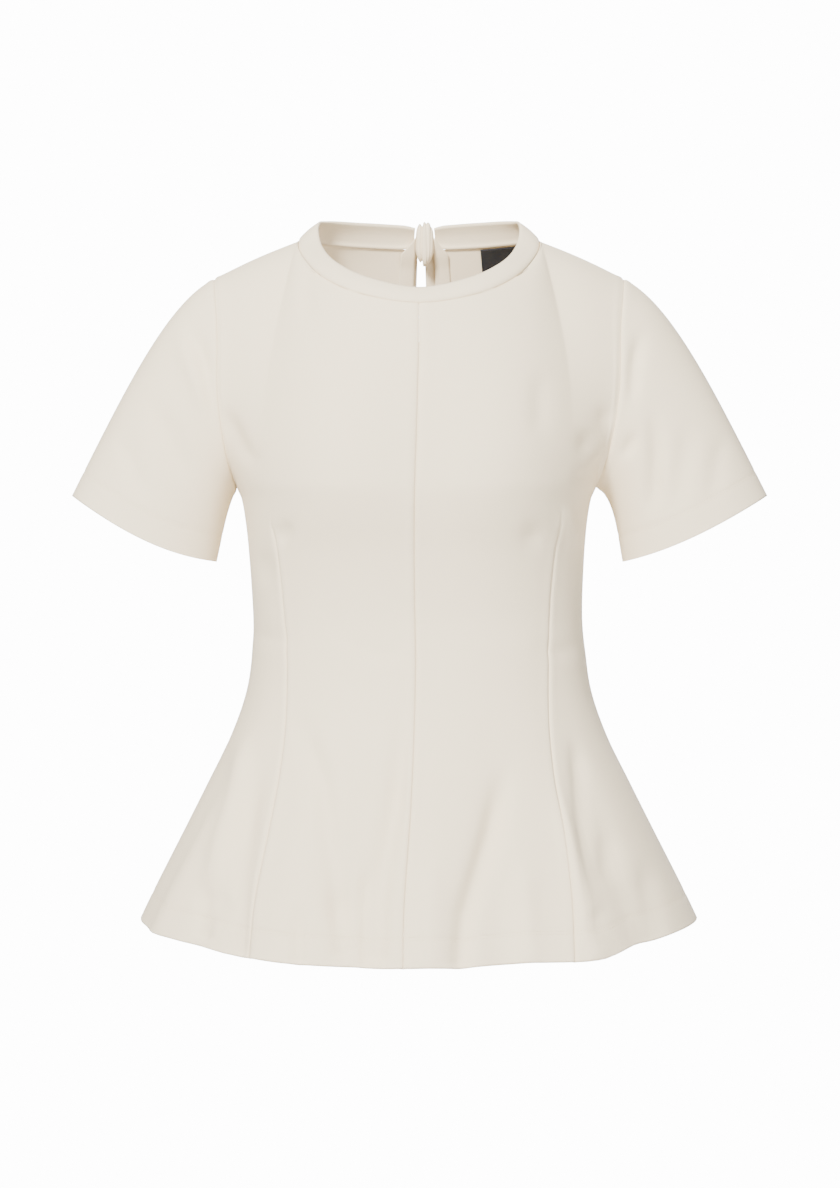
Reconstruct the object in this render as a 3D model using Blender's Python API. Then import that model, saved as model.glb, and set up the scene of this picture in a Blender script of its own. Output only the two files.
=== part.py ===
"""Fitted short-sleeved top with a flared hem, filled out as worn. Metres, +Z up, the front faces -Y.

The origin lies in the middle of the neck, level with the places where the neckband meets the shoulder seams.
Every piece of cloth is a point function over an open grid, then extruded towards the inside along normals
that meeting pieces share, so that their walls end side by side at the seams.
"""

from enum import Enum
from math import asin, cos, exp, pi, radians, sin
from typing import Callable, NamedTuple

import bmesh
import bpy
from mathutils import Vector

# Cloth and seams
CLOTH = 0.0016
FOLDED_CLOTH = 0.0024
TRIM_CLOTH = 0.0010
SEAM_GAP = 0.0004
LAY_GAP = 0.0004

# Heights of the main levels
UNDERARM_HEIGHT = -0.2115
DART_TIP_HEIGHT = -0.246
SIDE_HEM_HEIGHT = -0.581
FRONT_HEM_DROP = 0.028
BACK_HEM_DROP = 0.022
HEM_CURVE = 1.8
HEM_DIP = 0.0045
HEM_DIP_AT = 0.40
HEM_DIP_WIDTH = 0.10
HEM_TRIES = 4

# Folds of the flared hem
WAVE_START_HEIGHT = -0.360
WAVE_GROWTH = 1.3
WAVE_FADE_SIDE = 0.88
WAVE_FADE_CENTRE = 0.05
CENTRE_SHIFT_FADE = 1.5

# Shoulder seam, from the neckband to the sleeve
NECK_TURN = 95.0
SHOULDER_POINT = Vector((0.1765, 0.006, -0.0315))
SHOULDER_ARCH = 0.0015
NECK_REACH = 0.45
SHOULDER_REACH = 0.80
REACH_ACROSS = (0.45, 0.85)
SHOULDER_RISE = 0.10
YOKE_STEP = 0.004

# Armhole ring
ARMHOLE_TOP = -0.0315
ARMHOLE_FRONT = 0.050
ARMHOLE_BACK = 0.056
ARMHOLE_SCOOP = 0.15
ARMHOLE_SPACING = 0.9

# Sleeve
CUFF_CENTRE = Vector((0.2363, 0.0020, -0.2468))
CUFF_LONG = Vector((0.0623, 0.0, 0.0285))
CUFF_DEEP = 0.043
LEFT_CUFF_BOW = 0.0085
RIGHT_CUFF_BOW = 0.0055
CUFF_BOW_SKEW = 0.3
RIGHT_CUFF_OUT = 0.0012
RIGHT_UNDER_OUT = 0.0050
SLEEVE_TOP_START = Vector((0.90, 0.0, -0.44))
SLEEVE_TOP_END = Vector((0.447, 0.0, -0.894))
SLEEVE_UNDER_START = Vector((0.50, 0.0, -0.87))
SLEEVE_UNDER_END = Vector((0.26, 0.0, -0.966))
SLEEVE_TOP_REACH = (0.045, 0.100)
SLEEVE_UNDER_REACH = (0.020, 0.020)

# Bust
BUST_AWAY = 0.078
BUST_HEIGHT = -0.188
BUST_PUSH = 0.012
BUST_TOP = -0.045
BUST_FADE = 0.060
BUST_SPREAD_ACROSS = 0.042
BUST_SPREAD_UP = 0.052

# Keyhole at the back neck and its tie
KEYHOLE_CENTRE = 0.005
KEYHOLE_BOTTOM = -0.105
KEYHOLE_HALF_WIDTH = 0.0092
KEYHOLE_WIDEST = 0.72
KEYHOLE_SPREAD = 0.25
KEYHOLE_ROUND = 0.8
KEYHOLE_CLOSE = 0.18
KEYHOLE_SHIFT_HEIGHTS = (-0.30, -0.08)
KEYHOLE_SHIFT_ACROSS = 0.4
BAND_END_TURN = 5.2
BAND_END_NARROWING = 0.30
BAND_ROUND = 0.0015
FACING_COLUMNS = 0.75
FACING_BOTTOM = -0.118
FACING_TOP = (0.0085, -0.0060)
FACING_ON_BAND = 0.0010
KNOT_CENTRE = Vector((0.0050, 0.0585, 0.0030))
KNOT_HALF = Vector((0.0080, 0.0085, 0.0195))
KNOT_SQUARE = 0.72
KNOT_GROOVE = 0.0017
KNOT_GROOVE_AT = -0.30
KNOT_POINT = 0.62
TAIL_INNER_EDGE = {-1: -0.0012, 1: 0.0052}
TAIL_WIDTH = 0.020
TAIL_TOP = -0.0040
TAIL_LENGTH = 0.165
TAIL_OUT = 0.0008
TAIL_SPREAD = 0.012
TAIL_RIPPLE = 0.0015

# Label inside the back neck
LABEL_TURNS = (152.0, 119.0)
LABEL_DEPTH = 0.030
LABEL_TOP_GAP = 0.0010

# Grid counts
CENTRE_COLUMNS = 8
SIDE_COLUMNS = 6
HEM_ROWS = 15
TIP_ROWS = 2
YOKE_ROWS = 11
SLEEVE_ROWS = 8
FACING_GRID = (2, 9)
TAIL_GRID = (3, 12)
BAND_ROWS = 2
NECK_ACROSS = 0.6

# Places where pieces meet, and points well inside the hollows
COLLECTION = "fitted_top"
MEETING_GRID = 0.00005
MEETING_SMOOTH = 0.5
BODY_MIDDLE = Vector((0.0, 0.0, -0.30))
SLEEVE_MIDDLE = Vector((0.215, 0.003, -0.160))

# Colours
CLOTH_COLOUR = (0.755, 0.712, 0.630, 1.0)
LABEL_COLOUR = (0.012, 0.012, 0.013, 1.0)


class Face(Enum):
    """Front or back of the body; the value is the sign of its depth."""

    FRONT = -1
    BACK = 1


class Side(Enum):
    """Left or right as the viewer sees the front; the value is the sign of X."""

    LEFT = -1
    RIGHT = 1


class Level(NamedTuple):
    """One level section of the body: half width, depths from the side seams, and squareness."""

    height: float
    half_width: float
    front: float
    back: float
    square: float


class NeckStation(NamedTuple):
    """A place round the neck: the neckband's seam to the body, and its free edge."""

    turn: float
    seam_x: float
    seam_y: float
    seam_z: float
    edge_x: float
    edge_y: float
    edge_z: float


class Place(NamedTuple):
    """Distance from the middle at a height."""

    height: float
    away: float


class Wave(NamedTuple):
    """A soft fold of the flared hem: where it lies, its width and its depth at the hem, + out."""

    side: Side
    at: float
    width: float
    depth: float
    lean: float


LEVELS = (
    Level(-0.6200, 0.2560, 0.180, 0.169, 2.12),
    Level(-0.5810, 0.2387, 0.168, 0.158, 2.15),
    Level(-0.5530, 0.2253, 0.159, 0.150, 2.15),
    Level(-0.5014, 0.1991, 0.143, 0.136, 2.20),
    Level(-0.4627, 0.1797, 0.130, 0.125, 2.20),
    Level(-0.4240, 0.1608, 0.117, 0.113, 2.25),
    Level(-0.3850, 0.1475, 0.107, 0.102, 2.30),
    Level(-0.3466, 0.1423, 0.102, 0.0945, 2.35),
    Level(-0.3208, 0.1410, 0.101, 0.092, 2.35),
    Level(-0.2690, 0.1436, 0.108, 0.095, 2.30),
    Level(-0.2434, 0.1460, 0.114, 0.099, 2.30),
    Level(-0.2200, 0.1500, 0.1185, 0.103, 2.27),
    Level(-0.2115, 0.1540, 0.119, 0.104, 2.25),
    Level(-0.1800, 0.1600, 0.118, 0.107, 2.25),
)

NECK = (
    NeckStation(0.0, 0.0000, -0.0880, -0.0588, 0.0000, -0.0780, -0.0446),
    NeckStation(30.0, 0.0515, -0.0790, -0.0500, 0.0430, -0.0700, -0.0357),
    NeckStation(55.0, 0.0835, -0.0540, -0.0335, 0.0705, -0.0490, -0.0210),
    NeckStation(78.0, 0.1010, -0.0220, -0.0125, 0.0835, -0.0200, -0.0040),
    NeckStation(95.0, 0.1040, 0.0020, 0.0005, 0.0870, 0.0030, 0.0150),
    NeckStation(120.0, 0.0925, 0.0340, 0.0020, 0.0800, 0.0290, 0.0205),
    NeckStation(150.0, 0.0535, 0.0565, 0.0000, 0.0460, 0.0480, 0.0205),
    NeckStation(180.0, 0.0000, 0.0630, -0.0015, 0.0000, 0.0540, 0.0185),
)

ARMHOLE = (
    Place(-0.2115, 0.1540),
    Place(-0.1900, 0.1605),
    Place(-0.1650, 0.1660),
    Place(-0.1300, 0.1705),
    Place(-0.0750, 0.1722),
    Place(-0.0315, 0.1765),
)

DART = (
    Place(-0.6200, 0.1350),
    Place(-0.5624, 0.1310),
    Place(-0.5000, 0.1215),
    Place(-0.4500, 0.1145),
    Place(-0.4000, 0.1108),
    Place(-0.3300, 0.1118),
    Place(-0.2700, 0.1170),
    Place(-0.2460, 0.1220),
)

CENTRE_SHIFT = (
    Place(-0.6200, -0.0130),
    Place(-0.5600, -0.0120),
    Place(-0.4800, -0.0065),
    Place(-0.3900, -0.0030),
    Place(-0.2500, -0.0015),
    Place(-0.1000, 0.0),
)

SWAY = (
    Place(-0.3600, 0.0),
    Place(-0.3000, -0.0015),
    Place(-0.2200, -0.0022),
    Place(-0.1700, -0.0012),
    Place(-0.1000, 0.0),
)

WAVES = {
    Face.FRONT: (
        Wave(Side.LEFT, 0.10, 0.055, -0.0060, 0.02),
        Wave(Side.LEFT, 0.27, 0.070, 0.0040, 0.03),
        Wave(Side.LEFT, 0.52, 0.060, -0.0045, -0.02),
        Wave(Side.LEFT, 0.70, 0.055, 0.0050, -0.04),
        Wave(Side.RIGHT, 0.05, 0.060, 0.0025, 0.0),
        Wave(Side.RIGHT, 0.19, 0.060, -0.0060, 0.05),
        Wave(Side.RIGHT, 0.40, 0.065, 0.0055, 0.0),
        Wave(Side.RIGHT, 0.55, 0.050, -0.0045, 0.03),
    ),
    Face.BACK: (
        Wave(Side.LEFT, 0.14, 0.060, -0.0050, 0.02),
        Wave(Side.LEFT, 0.36, 0.070, 0.0055, 0.01),
        Wave(Side.LEFT, 0.62, 0.060, -0.0045, -0.02),
        Wave(Side.RIGHT, 0.10, 0.055, -0.0045, 0.03),
        Wave(Side.RIGHT, 0.33, 0.065, 0.0050, 0.0),
        Wave(Side.RIGHT, 0.58, 0.060, -0.0050, 0.02),
    ),
}


def read(rows: tuple, column: str, at: float, flat_ends: bool = False) -> float:
    """Smooth value of a named column at a place along the rows' first column."""
    keys = [row[0] for row in rows]
    values = [getattr(row, column) for row in rows]
    at = min(max(at, keys[0]), keys[-1])
    last = len(rows) - 1
    i = next(n for n in range(last) if at <= keys[n + 1])

    def slope(n: int) -> float:
        if flat_ends and n in (0, last):
            return 0.0
        low, high = max(n - 1, 0), min(n + 1, last)
        return (values[high] - values[low]) / (keys[high] - keys[low])

    span = keys[i + 1] - keys[i]
    t = (at - keys[i]) / span
    return (
        (2 * t**3 - 3 * t**2 + 1) * values[i]
        + (t**3 - 2 * t**2 + t) * span * slope(i)
        + (3 * t**2 - 2 * t**3) * values[i + 1]
        + (t**3 - t**2) * span * slope(i + 1)
    )


def ease(low: float, high: float, at: float) -> float:
    """0 below low, 1 above high, smooth between; low may be the larger one."""
    t = min(max((at - low) / (high - low), 0.0), 1.0)
    return t * t * (3.0 - 2.0 * t)


def hermite(start: Vector, leave: Vector, end: Vector, arrive: Vector, t: float) -> Vector:
    """Point of a cubic curve from its ends and its end speeds."""
    return (
        (2 * t**3 - 3 * t**2 + 1) * start
        + (t**3 - 2 * t**2 + t) * leave
        + (3 * t**2 - 2 * t**3) * end
        + (t**3 - t**2) * arrive
    )


def neck_seam(turn: float) -> Vector:
    """Seam of the neckband at a turn from the centre front, in degrees, right side."""
    return Vector(
        (
            read(NECK, "seam_x", turn),
            read(NECK, "seam_y", turn, True),
            read(NECK, "seam_z", turn, True),
        )
    )


def neck_edge(turn: float) -> Vector:
    """Free edge of the neckband at a turn from the centre front, in degrees, right side."""
    return Vector(
        (
            read(NECK, "edge_x", turn),
            read(NECK, "edge_y", turn, True),
            read(NECK, "edge_z", turn, True),
        )
    )


def armhole(angle: float, face: Face) -> Vector:
    """Point of the right armhole: angle 0 at the shoulder, pi under the arm."""
    middle = (ARMHOLE_TOP + UNDERARM_HEIGHT) / 2
    radius = (ARMHOLE_TOP - UNDERARM_HEIGHT) / 2
    height = middle + radius * cos(angle)
    depth = ARMHOLE_FRONT if face is Face.FRONT else ARMHOLE_BACK
    scoop = 1.0 - ARMHOLE_SCOOP * cos(angle)
    centre = SHOULDER_POINT.y * (1 + cos(angle)) / 2
    y = centre + face.value * depth * sin(angle) * scoop
    return Vector((read(ARMHOLE, "away", height), y, height))


def armhole_angle(share: float) -> float:
    """Angle round the armhole at a share of the way from the underarm to the shoulder."""
    return pi * (1.0 - share**ARMHOLE_SPACING)


def section(face: Face, across: float, height: float) -> Vector:
    """Point of the level section of the right half: across 0 at the centre, 1 at the side seam."""
    square = read(LEVELS, "square", height)
    depth = read(LEVELS, "front" if face is Face.FRONT else "back", height)
    angle = across * pi / 2
    x = read(LEVELS, "half_width", height) * sin(angle) ** (2 / square)
    y = face.value * depth * max(cos(angle), 0.0) ** (2 / square)
    return Vector((x, y, height))


def hem_height(face: Face, side: Side, across: float) -> float:
    """Height of the hem, which is lowest at the centre line and dips at one fold of the front."""
    drop = FRONT_HEM_DROP if face is Face.FRONT else BACK_HEM_DROP
    height = SIDE_HEM_HEIGHT - drop * cos(across * pi / 2) ** HEM_CURVE
    if face is Face.FRONT and side is Side.RIGHT:
        height -= HEM_DIP * exp(-(((across - HEM_DIP_AT) / HEM_DIP_WIDTH) ** 2))
    return height


def dart_across(height: float) -> float:
    """Place across the section of the dart's line; it runs on to the neck point."""
    share = read(DART, "away", height) / read(LEVELS, "half_width", height)
    dart = asin(share ** (read(LEVELS, "square", height) / 2)) * 2 / pi
    to_neck = ease(DART_TIP_HEIGHT, UNDERARM_HEIGHT, height)
    return dart * (1 - to_neck) + NECK_ACROSS * to_neck


def column_across(column: float, height: float) -> float:
    """Place across the section of a grid column, so that one column lies on the dart."""
    dart = dart_across(height)
    if column <= CENTRE_COLUMNS:
        return dart * column / CENTRE_COLUMNS
    return dart + (1 - dart) * (column - CENTRE_COLUMNS) / SIDE_COLUMNS


def wave_push(face: Face, side: Side, across: float, height: float) -> float:
    """How far the folds of the flared hem push the cloth out."""
    growth = ease(WAVE_START_HEIGHT, SIDE_HEM_HEIGHT, height) ** WAVE_GROWTH
    push = 0.0
    for wave in WAVES[face]:
        if wave.side is side:
            at = wave.at + wave.lean * (1 - growth)
            push += wave.depth * exp(-(((across - at) / wave.width) ** 2))
    return push * growth * ease(1.0, WAVE_FADE_SIDE, across) * ease(0.0, WAVE_FADE_CENTRE, across)


def bust_push(away: float, across: float, height: float) -> float:
    """How far the bust fills the front out at a place."""
    over = ((away - BUST_AWAY) / BUST_SPREAD_ACROSS) ** 2
    up = ((height - BUST_HEIGHT) / BUST_SPREAD_UP) ** 2
    fade = (1 - across**6) * ease(BUST_TOP, BUST_TOP - BUST_FADE, height)
    return BUST_PUSH * exp(-(over + up) / 2) * fade


def top_edge(face: Face, across: float) -> Vector:
    """Point of a panel's top edge: the neckline up to the neck point, then the shoulder seam."""
    if across <= NECK_ACROSS:
        centre_turn = 0.0 if face is Face.FRONT else 180.0
        return neck_seam(centre_turn + (NECK_TURN - centre_turn) * across / NECK_ACROSS)
    share = (across - NECK_ACROSS) / (1 - NECK_ACROSS)
    point = neck_seam(NECK_TURN).lerp(SHOULDER_POINT, share)
    return point + Vector((0, 0, SHOULDER_ARCH * sin(share * pi)))


def top_run(face: Face, across: float) -> Vector:
    """Direction in which a panel reaches its top edge; at the neck it turns to run along the seam."""
    over = Vector((0, -face.value, SHOULDER_RISE)).normalized()
    if across >= NECK_ACROSS:
        return over
    centre_turn = 0.0 if face is Face.FRONT else 180.0
    turn = centre_turn + (NECK_TURN - centre_turn) * across / NECK_ACROSS
    band = (neck_edge(turn) - neck_seam(turn)).normalized()
    along = (neck_seam(turn - face.value) - neck_seam(turn + face.value)).normalized()
    sideways = ease(0.0, NECK_ACROSS, across)
    return band.lerp(along.lerp(over, sideways), sideways).normalized()


def top_reach(across: float) -> float:
    """How long a panel's columns run straight before the top edge, as a share of their length."""
    return NECK_REACH + (SHOULDER_REACH - NECK_REACH) * ease(*REACH_ACROSS, across)


def yoke_point(face: Face, across: float, share: float) -> Vector:
    """Point between the underarm level and the top edge of the right half."""
    low = section(face, across, UNDERARM_HEIGHT)
    climb = (section(face, across, UNDERARM_HEIGHT + YOKE_STEP) - low) / YOKE_STEP

    def column(at: float) -> Vector:
        foot = section(face, at, UNDERARM_HEIGHT)
        top = top_edge(face, at)
        chord = (top - foot).length
        return hermite(foot, climb * chord, top, top_run(face, at) * chord * top_reach(at), share)

    point = column(across)
    edge = armhole(armhole_angle(share), face)
    return point + (edge - column(1.0)) * across**4


def skirt_place(face: Face, side: Side, column: float, row: float) -> tuple[float, float]:
    """Height and place across of a grid place between the hem and the underarm level."""
    if row > HEM_ROWS:
        height = DART_TIP_HEIGHT + (UNDERARM_HEIGHT - DART_TIP_HEIGHT) * (row - HEM_ROWS) / TIP_ROWS
        return height, column_across(column, height)
    height = SIDE_HEM_HEIGHT
    across = column_across(column, height)
    for _ in range(HEM_TRIES):
        foot = hem_height(face, side, across)
        height = foot + (DART_TIP_HEIGHT - foot) * row / HEM_ROWS
        across = column_across(column, height)
    return height, across


def body_point(face: Face, side: Side, column: float, row: float) -> Vector:
    """Point on the outside of a body panel from its grid column and row."""
    arm_row = HEM_ROWS + TIP_ROWS
    if row > arm_row:
        across = column_across(column, UNDERARM_HEIGHT)
        point = yoke_point(face, across, (row - arm_row) / YOKE_ROWS)
    else:
        height, across = skirt_place(face, side, column, row)
        point = section(face, across, height)
        outward = Vector((sin(across * pi / 2), face.value * cos(across * pi / 2), 0))
        point += outward * wave_push(face, side, across, height)
    if face is Face.FRONT:
        point.y -= bust_push(point.x, across, point.z)
        shift = read(CENTRE_SHIFT, "away", point.z) * (1 - across) ** CENTRE_SHIFT_FADE
    else:
        shift = KEYHOLE_CENTRE * ease(*KEYHOLE_SHIFT_HEIGHTS, point.z) * ease(KEYHOLE_SHIFT_ACROSS, 0.0, across)
        point.x += keyhole_half_width(point.z) * max(1 - across / KEYHOLE_SPREAD, 0.0)
    return Vector((side.value * point.x + shift + read(SWAY, "away", point.z), point.y, point.z))


def keyhole_half_width(height: float) -> float:
    """Half of the keyhole's width at a height: a drop that closes at its bottom."""
    share = (height - KEYHOLE_BOTTOM) / -KEYHOLE_BOTTOM
    if share <= 0:
        return 0.0
    rise = sin(min(share / KEYHOLE_WIDEST, 1.0) * pi / 2) ** KEYHOLE_ROUND
    close = 1.0 - KEYHOLE_CLOSE * ease(KEYHOLE_WIDEST, 1.0, share)
    return KEYHOLE_HALF_WIDTH * rise * close


class Cloth:
    """A piece of cloth: an open grid on the garment's skin that gets its wall from the skin's normals."""

    def __init__(self, name: str, columns: int, rows: int, surface: Callable[[float, float], Vector]) -> None:
        self.name = name
        self.size = (columns, rows)
        self.surface = surface
        self.bm = bmesh.new()
        bmesh.ops.create_grid(self.bm, x_segments=columns, y_segments=rows, size=0.5)
        self.wall_run = self.bm.verts.layers.float_vector.new("wall_run")
        self.at = {}
        for vert in self.bm.verts:
            place = (round((vert.co.x + 0.5) * columns), round((vert.co.y + 0.5) * rows))
            self.at[place] = vert
            vert.co = surface(*place)
        self.bm.normal_update()

    def face_outward(self, middle: Vector) -> None:
        """Turn the faces away from a point well inside the piece's hollow."""
        lean = sum(f.normal.dot(f.calc_center_median() - middle) * f.calc_area() for f in self.bm.faces)
        if lean < 0:
            bmesh.ops.reverse_faces(self.bm, faces=self.bm.faces)
            self.bm.normal_update()

    def close_tube(self) -> None:
        """Join the first and the last column of a piece that runs all round."""
        columns, rows = self.size
        targets = {self.at[(columns, row)]: self.at[(0, row)] for row in range(rows + 1)}
        bmesh.ops.weld_verts(self.bm, targetmap=targets)
        for row in range(rows + 1):
            self.at[(columns, row)] = self.at[(0, row)]
        self.bm.normal_update()

    def own_normals(self) -> dict:
        """Normal at each corner from this piece alone, by grid place."""
        return {place: vert.normal.copy() for place, vert in self.at.items()}

    def draw_in(self, seams: tuple[bool, bool, bool, bool], distance: float = SEAM_GAP / 2) -> None:
        """Draw the seamed edges in by a distance: first and last column, first and last row."""
        columns, rows = self.size
        moves = {}
        for (column, row), vert in self.at.items():
            steps = (
                (seams[0] and column == 0, 1, 0),
                (seams[1] and column == columns, -1, 0),
                (seams[2] and row == 0, 0, 1),
                (seams[3] and row == rows, 0, -1),
            )
            move = Vector()
            for on_edge, across, up in steps:
                if on_edge:
                    before = self.at.get((column - abs(up), row - abs(across)), vert)
                    after = self.at.get((column + abs(up), row + abs(across)), vert)
                    inner = self.at[(column + across, row + up)].co - vert.co
                    square = (after.co - before.co).cross(vert[self.wall_run]).normalized()
                    move += square * (1 if square.dot(inner) > 0 else -1) * distance
            moves[vert] = move
        for vert, move in moves.items():
            vert.co += move

    def cut_column(self, column: int, last_row: int) -> None:
        """Open a seam along a column from the first row up to a row, as wide as the seam gap."""
        line = {self.at[(column, row)] for row in range(last_row + 1)}
        cuts = [self.at[(column, row)].co.copy() for row in range(last_row + 1)]
        edges = [e for e in self.bm.edges if e.verts[0] in line and e.verts[1] in line]
        bmesh.ops.split_edges(self.bm, edges=edges)
        tip = cuts[-1]
        on_cut = {v for v in self.bm.verts if min((v.co - cut).length for cut in cuts) < MEETING_GRID}
        moves = {}
        for vert in on_cut:
            mates = [e.other_vert(vert) for e in vert.link_edges if e.other_vert(vert) not in on_cut]
            if (vert.co - tip).length > MEETING_GRID:
                moves[vert] = (mates[0].co - vert.co).normalized() * SEAM_GAP / 2
        for vert, move in moves.items():
            vert.co += move

    def thicken(self, wall: float) -> None:
        """Give the open grid its wall towards the inside."""
        outer = list(self.bm.verts)
        made = bmesh.ops.extrude_face_region(self.bm, geom=self.bm.faces[:], use_keep_orig=True)
        inner = [g for g in made["geom"] if isinstance(g, bmesh.types.BMVert)]
        for vert in inner:
            vert.co -= vert[self.wall_run] * wall
        bmesh.ops.recalc_face_normals(self.bm, faces=self.bm.faces)
        if self.bm.calc_volume(signed=True) < 0:
            bmesh.ops.reverse_faces(self.bm, faces=self.bm.faces)


def share_normals(pieces: list[Cloth]) -> None:
    """Give the corners where pieces meet smoothly one normal, so that their walls end side by side."""
    meeting = {}
    for piece in pieces:
        for place, normal in piece.own_normals().items():
            co = piece.at[place].co
            key = tuple(round(value / MEETING_GRID) for value in co)
            meeting.setdefault(key, []).append(normal)
    for piece in pieces:
        own = piece.own_normals()
        for place, vert in piece.at.items():
            key = tuple(round(value / MEETING_GRID) for value in vert.co)
            near = [n for n in meeting[key] if n.dot(own[place]) > MEETING_SMOOTH]
            vert[piece.wall_run] = sum(near, Vector()).normalized()


def finish(piece: Cloth, wall: float, material: bpy.types.Material) -> bpy.types.Object:
    """Make an object of a piece of cloth."""
    piece.thicken(wall)
    return link_mesh(piece.bm, piece.name, material)


def link_mesh(bm: bmesh.types.BMesh, name: str, material: bpy.types.Material) -> bpy.types.Object:
    """Make a smooth-shaded object of a closed mesh, in the part's collection."""
    mesh = bpy.data.meshes.new(name)
    bm.to_mesh(mesh)
    bm.free()
    mesh.materials.append(material)
    mesh.shade_smooth()
    mesh.set_sharp_from_angle(angle=radians(40))
    obj = bpy.data.objects.new(name, mesh)
    bpy.data.collections[COLLECTION].objects.link(obj)
    return obj


def make_material(name: str, colour: tuple, roughness: float) -> bpy.types.Material:
    """A plain matt finish."""
    material = bpy.data.materials.new(name)
    material.use_nodes = True
    shader = material.node_tree.nodes["Principled BSDF"]
    shader.inputs["Base Color"].default_value = colour
    shader.inputs["Roughness"].default_value = roughness
    shader.inputs["Metallic"].default_value = 0.0
    return material


def make_panel(face: Face, side: Side) -> Cloth:
    """One quarter of the body, from the centre seam to the side seam and the armhole."""
    columns, rows = CENTRE_COLUMNS + SIDE_COLUMNS, HEM_ROWS + TIP_ROWS + YOKE_ROWS

    def surface(column: float, row: float) -> Vector:
        return body_point(face, side, column, row)

    return Cloth(f"{face.name.lower()}_{side.name.lower()}", columns, rows, surface)


def sleeve_point(side: Side, around: float, along: float) -> Vector:
    """Point on the outside of a sleeve; around runs over the front from underarm to underarm."""
    share = around / YOKE_ROWS
    face = Face.FRONT if share <= 1 else Face.BACK
    angle = armhole_angle(share if share <= 1 else 2 - share)
    start = armhole(angle, face)
    end = CUFF_CENTRE + CUFF_LONG * cos(angle) + Vector((0, face.value * CUFF_DEEP * sin(angle), 0))
    down = Vector((CUFF_LONG.z, 0, -CUFF_LONG.x)).normalized()
    bow = LEFT_CUFF_BOW if side is Side.LEFT else RIGHT_CUFF_BOW
    end += down * bow * sin(angle) ** 2 * (1 - CUFF_BOW_SKEW * cos(angle))
    under = (1 - cos(angle)) / 2
    leave = SLEEVE_TOP_START.lerp(SLEEVE_UNDER_START, under**2).normalized()
    arrive = SLEEVE_TOP_END.lerp(SLEEVE_UNDER_END, under).normalized()
    reach = [a + (b - a) * under for a, b in zip(SLEEVE_TOP_REACH, SLEEVE_UNDER_REACH)]
    share = along / SLEEVE_ROWS
    point = hermite(start, leave * reach[0] * 3, end, arrive * reach[1] * 3, share)
    if side is Side.RIGHT:
        point.x += RIGHT_CUFF_OUT * share + RIGHT_UNDER_OUT * under * sin(pi * share**0.5)
    lean = read(SWAY, "away", start.z) * (1 - share)
    return Vector((side.value * point.x + lean, point.y, point.z))


def make_sleeve(side: Side) -> Cloth:
    """A set-in sleeve from the armhole to the cuff, one tube."""

    def surface(around: float, along: float) -> Vector:
        return sleeve_point(side, around, along)

    sleeve = Cloth(f"sleeve_{side.name.lower()}", 2 * YOKE_ROWS, SLEEVE_ROWS, surface)
    sleeve.close_tube()
    return sleeve


def band_turn(column: float) -> float:
    """Signed turn of a neckband column, on the same places as the panels' columns."""
    away = column - 2 * CENTRE_COLUMNS
    share = abs(away) / CENTRE_COLUMNS
    if share <= 1:
        turn = NECK_TURN * share
    else:
        turn = min(NECK_TURN + (180.0 - NECK_TURN) * (share - 1), 180.0 - BAND_END_TURN)
    return turn if away >= 0 else -turn


def band_point(turn: float, share: float) -> Vector:
    """Point of the neckband at a signed turn from the centre front; share 0 at its seam, 1 at its edge."""
    side = 1 if turn >= 0 else -1
    seam, edge = neck_seam(abs(turn)), neck_edge(abs(turn))
    outward = Vector((seam.x, seam.y, 0)).normalized()
    middle = (seam + edge) / 2
    to_end = ease(168.0, 180.0, abs(turn))
    seam = seam.lerp(middle, to_end * BAND_END_NARROWING)
    edge = edge.lerp(middle, to_end * BAND_END_NARROWING)
    point = seam.lerp(edge, share) + outward * BAND_ROUND * sin(share * pi)
    height = point.z
    shift_front = read(CENTRE_SHIFT, "away", height) * ease(60.0, 0.0, abs(turn))
    shift_back = KEYHOLE_CENTRE * ease(140.0, 176.0, abs(turn))
    return Vector((side * point.x + shift_front + shift_back, point.y, point.z))


def make_neckband() -> Cloth:
    """The folded band round the neck, open at the keyhole."""

    def surface(column: float, row: float) -> Vector:
        return band_point(band_turn(column), row / BAND_ROWS)

    return Cloth("neckband", 4 * CENTRE_COLUMNS, BAND_ROWS, surface)


def row_at_height(face: Face, side: Side, column: float, height: float) -> float:
    """Grid row at which a body panel's column reaches a height."""
    low, high = 0.0, float(HEM_ROWS + TIP_ROWS + YOKE_ROWS)
    for _ in range(24):
        middle = (low + high) / 2
        if body_point(face, side, column, middle).z < height:
            low = middle
        else:
            high = middle
    return low


def make_facing(side: Side) -> Cloth:
    """The turned-back allowance along one side of the keyhole, which runs up onto the band."""
    columns, rows = FACING_GRID
    top_row = HEM_ROWS + TIP_ROWS + YOKE_ROWS

    def surface(across: float, up: float) -> Vector:
        share = across / columns
        column = share * FACING_COLUMNS
        seam = body_point(Face.BACK, side, column, top_row)
        top = FACING_TOP[0] + (FACING_TOP[1] - FACING_TOP[0]) * share
        height = FACING_BOTTOM + (top - FACING_BOTTOM) * up / rows
        if height < seam.z:
            point = body_point(Face.BACK, side, column, row_at_height(Face.BACK, side, column, height))
        else:
            lean = (neck_edge(180.0) - neck_seam(180.0)).normalized()
            point = seam + lean * (height - seam.z) / lean.z
        on_band = ease(seam.z - 0.018, seam.z - 0.004, height)
        depth = CLOTH + LAY_GAP + (FOLDED_CLOTH - CLOTH + FACING_ON_BAND) * on_band
        edge = side.value * SEAM_GAP * (1 - share)
        return point + Vector((edge, -depth, 0))

    return Cloth(f"keyhole_facing_{side.name.lower()}", columns, rows, surface)


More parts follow.
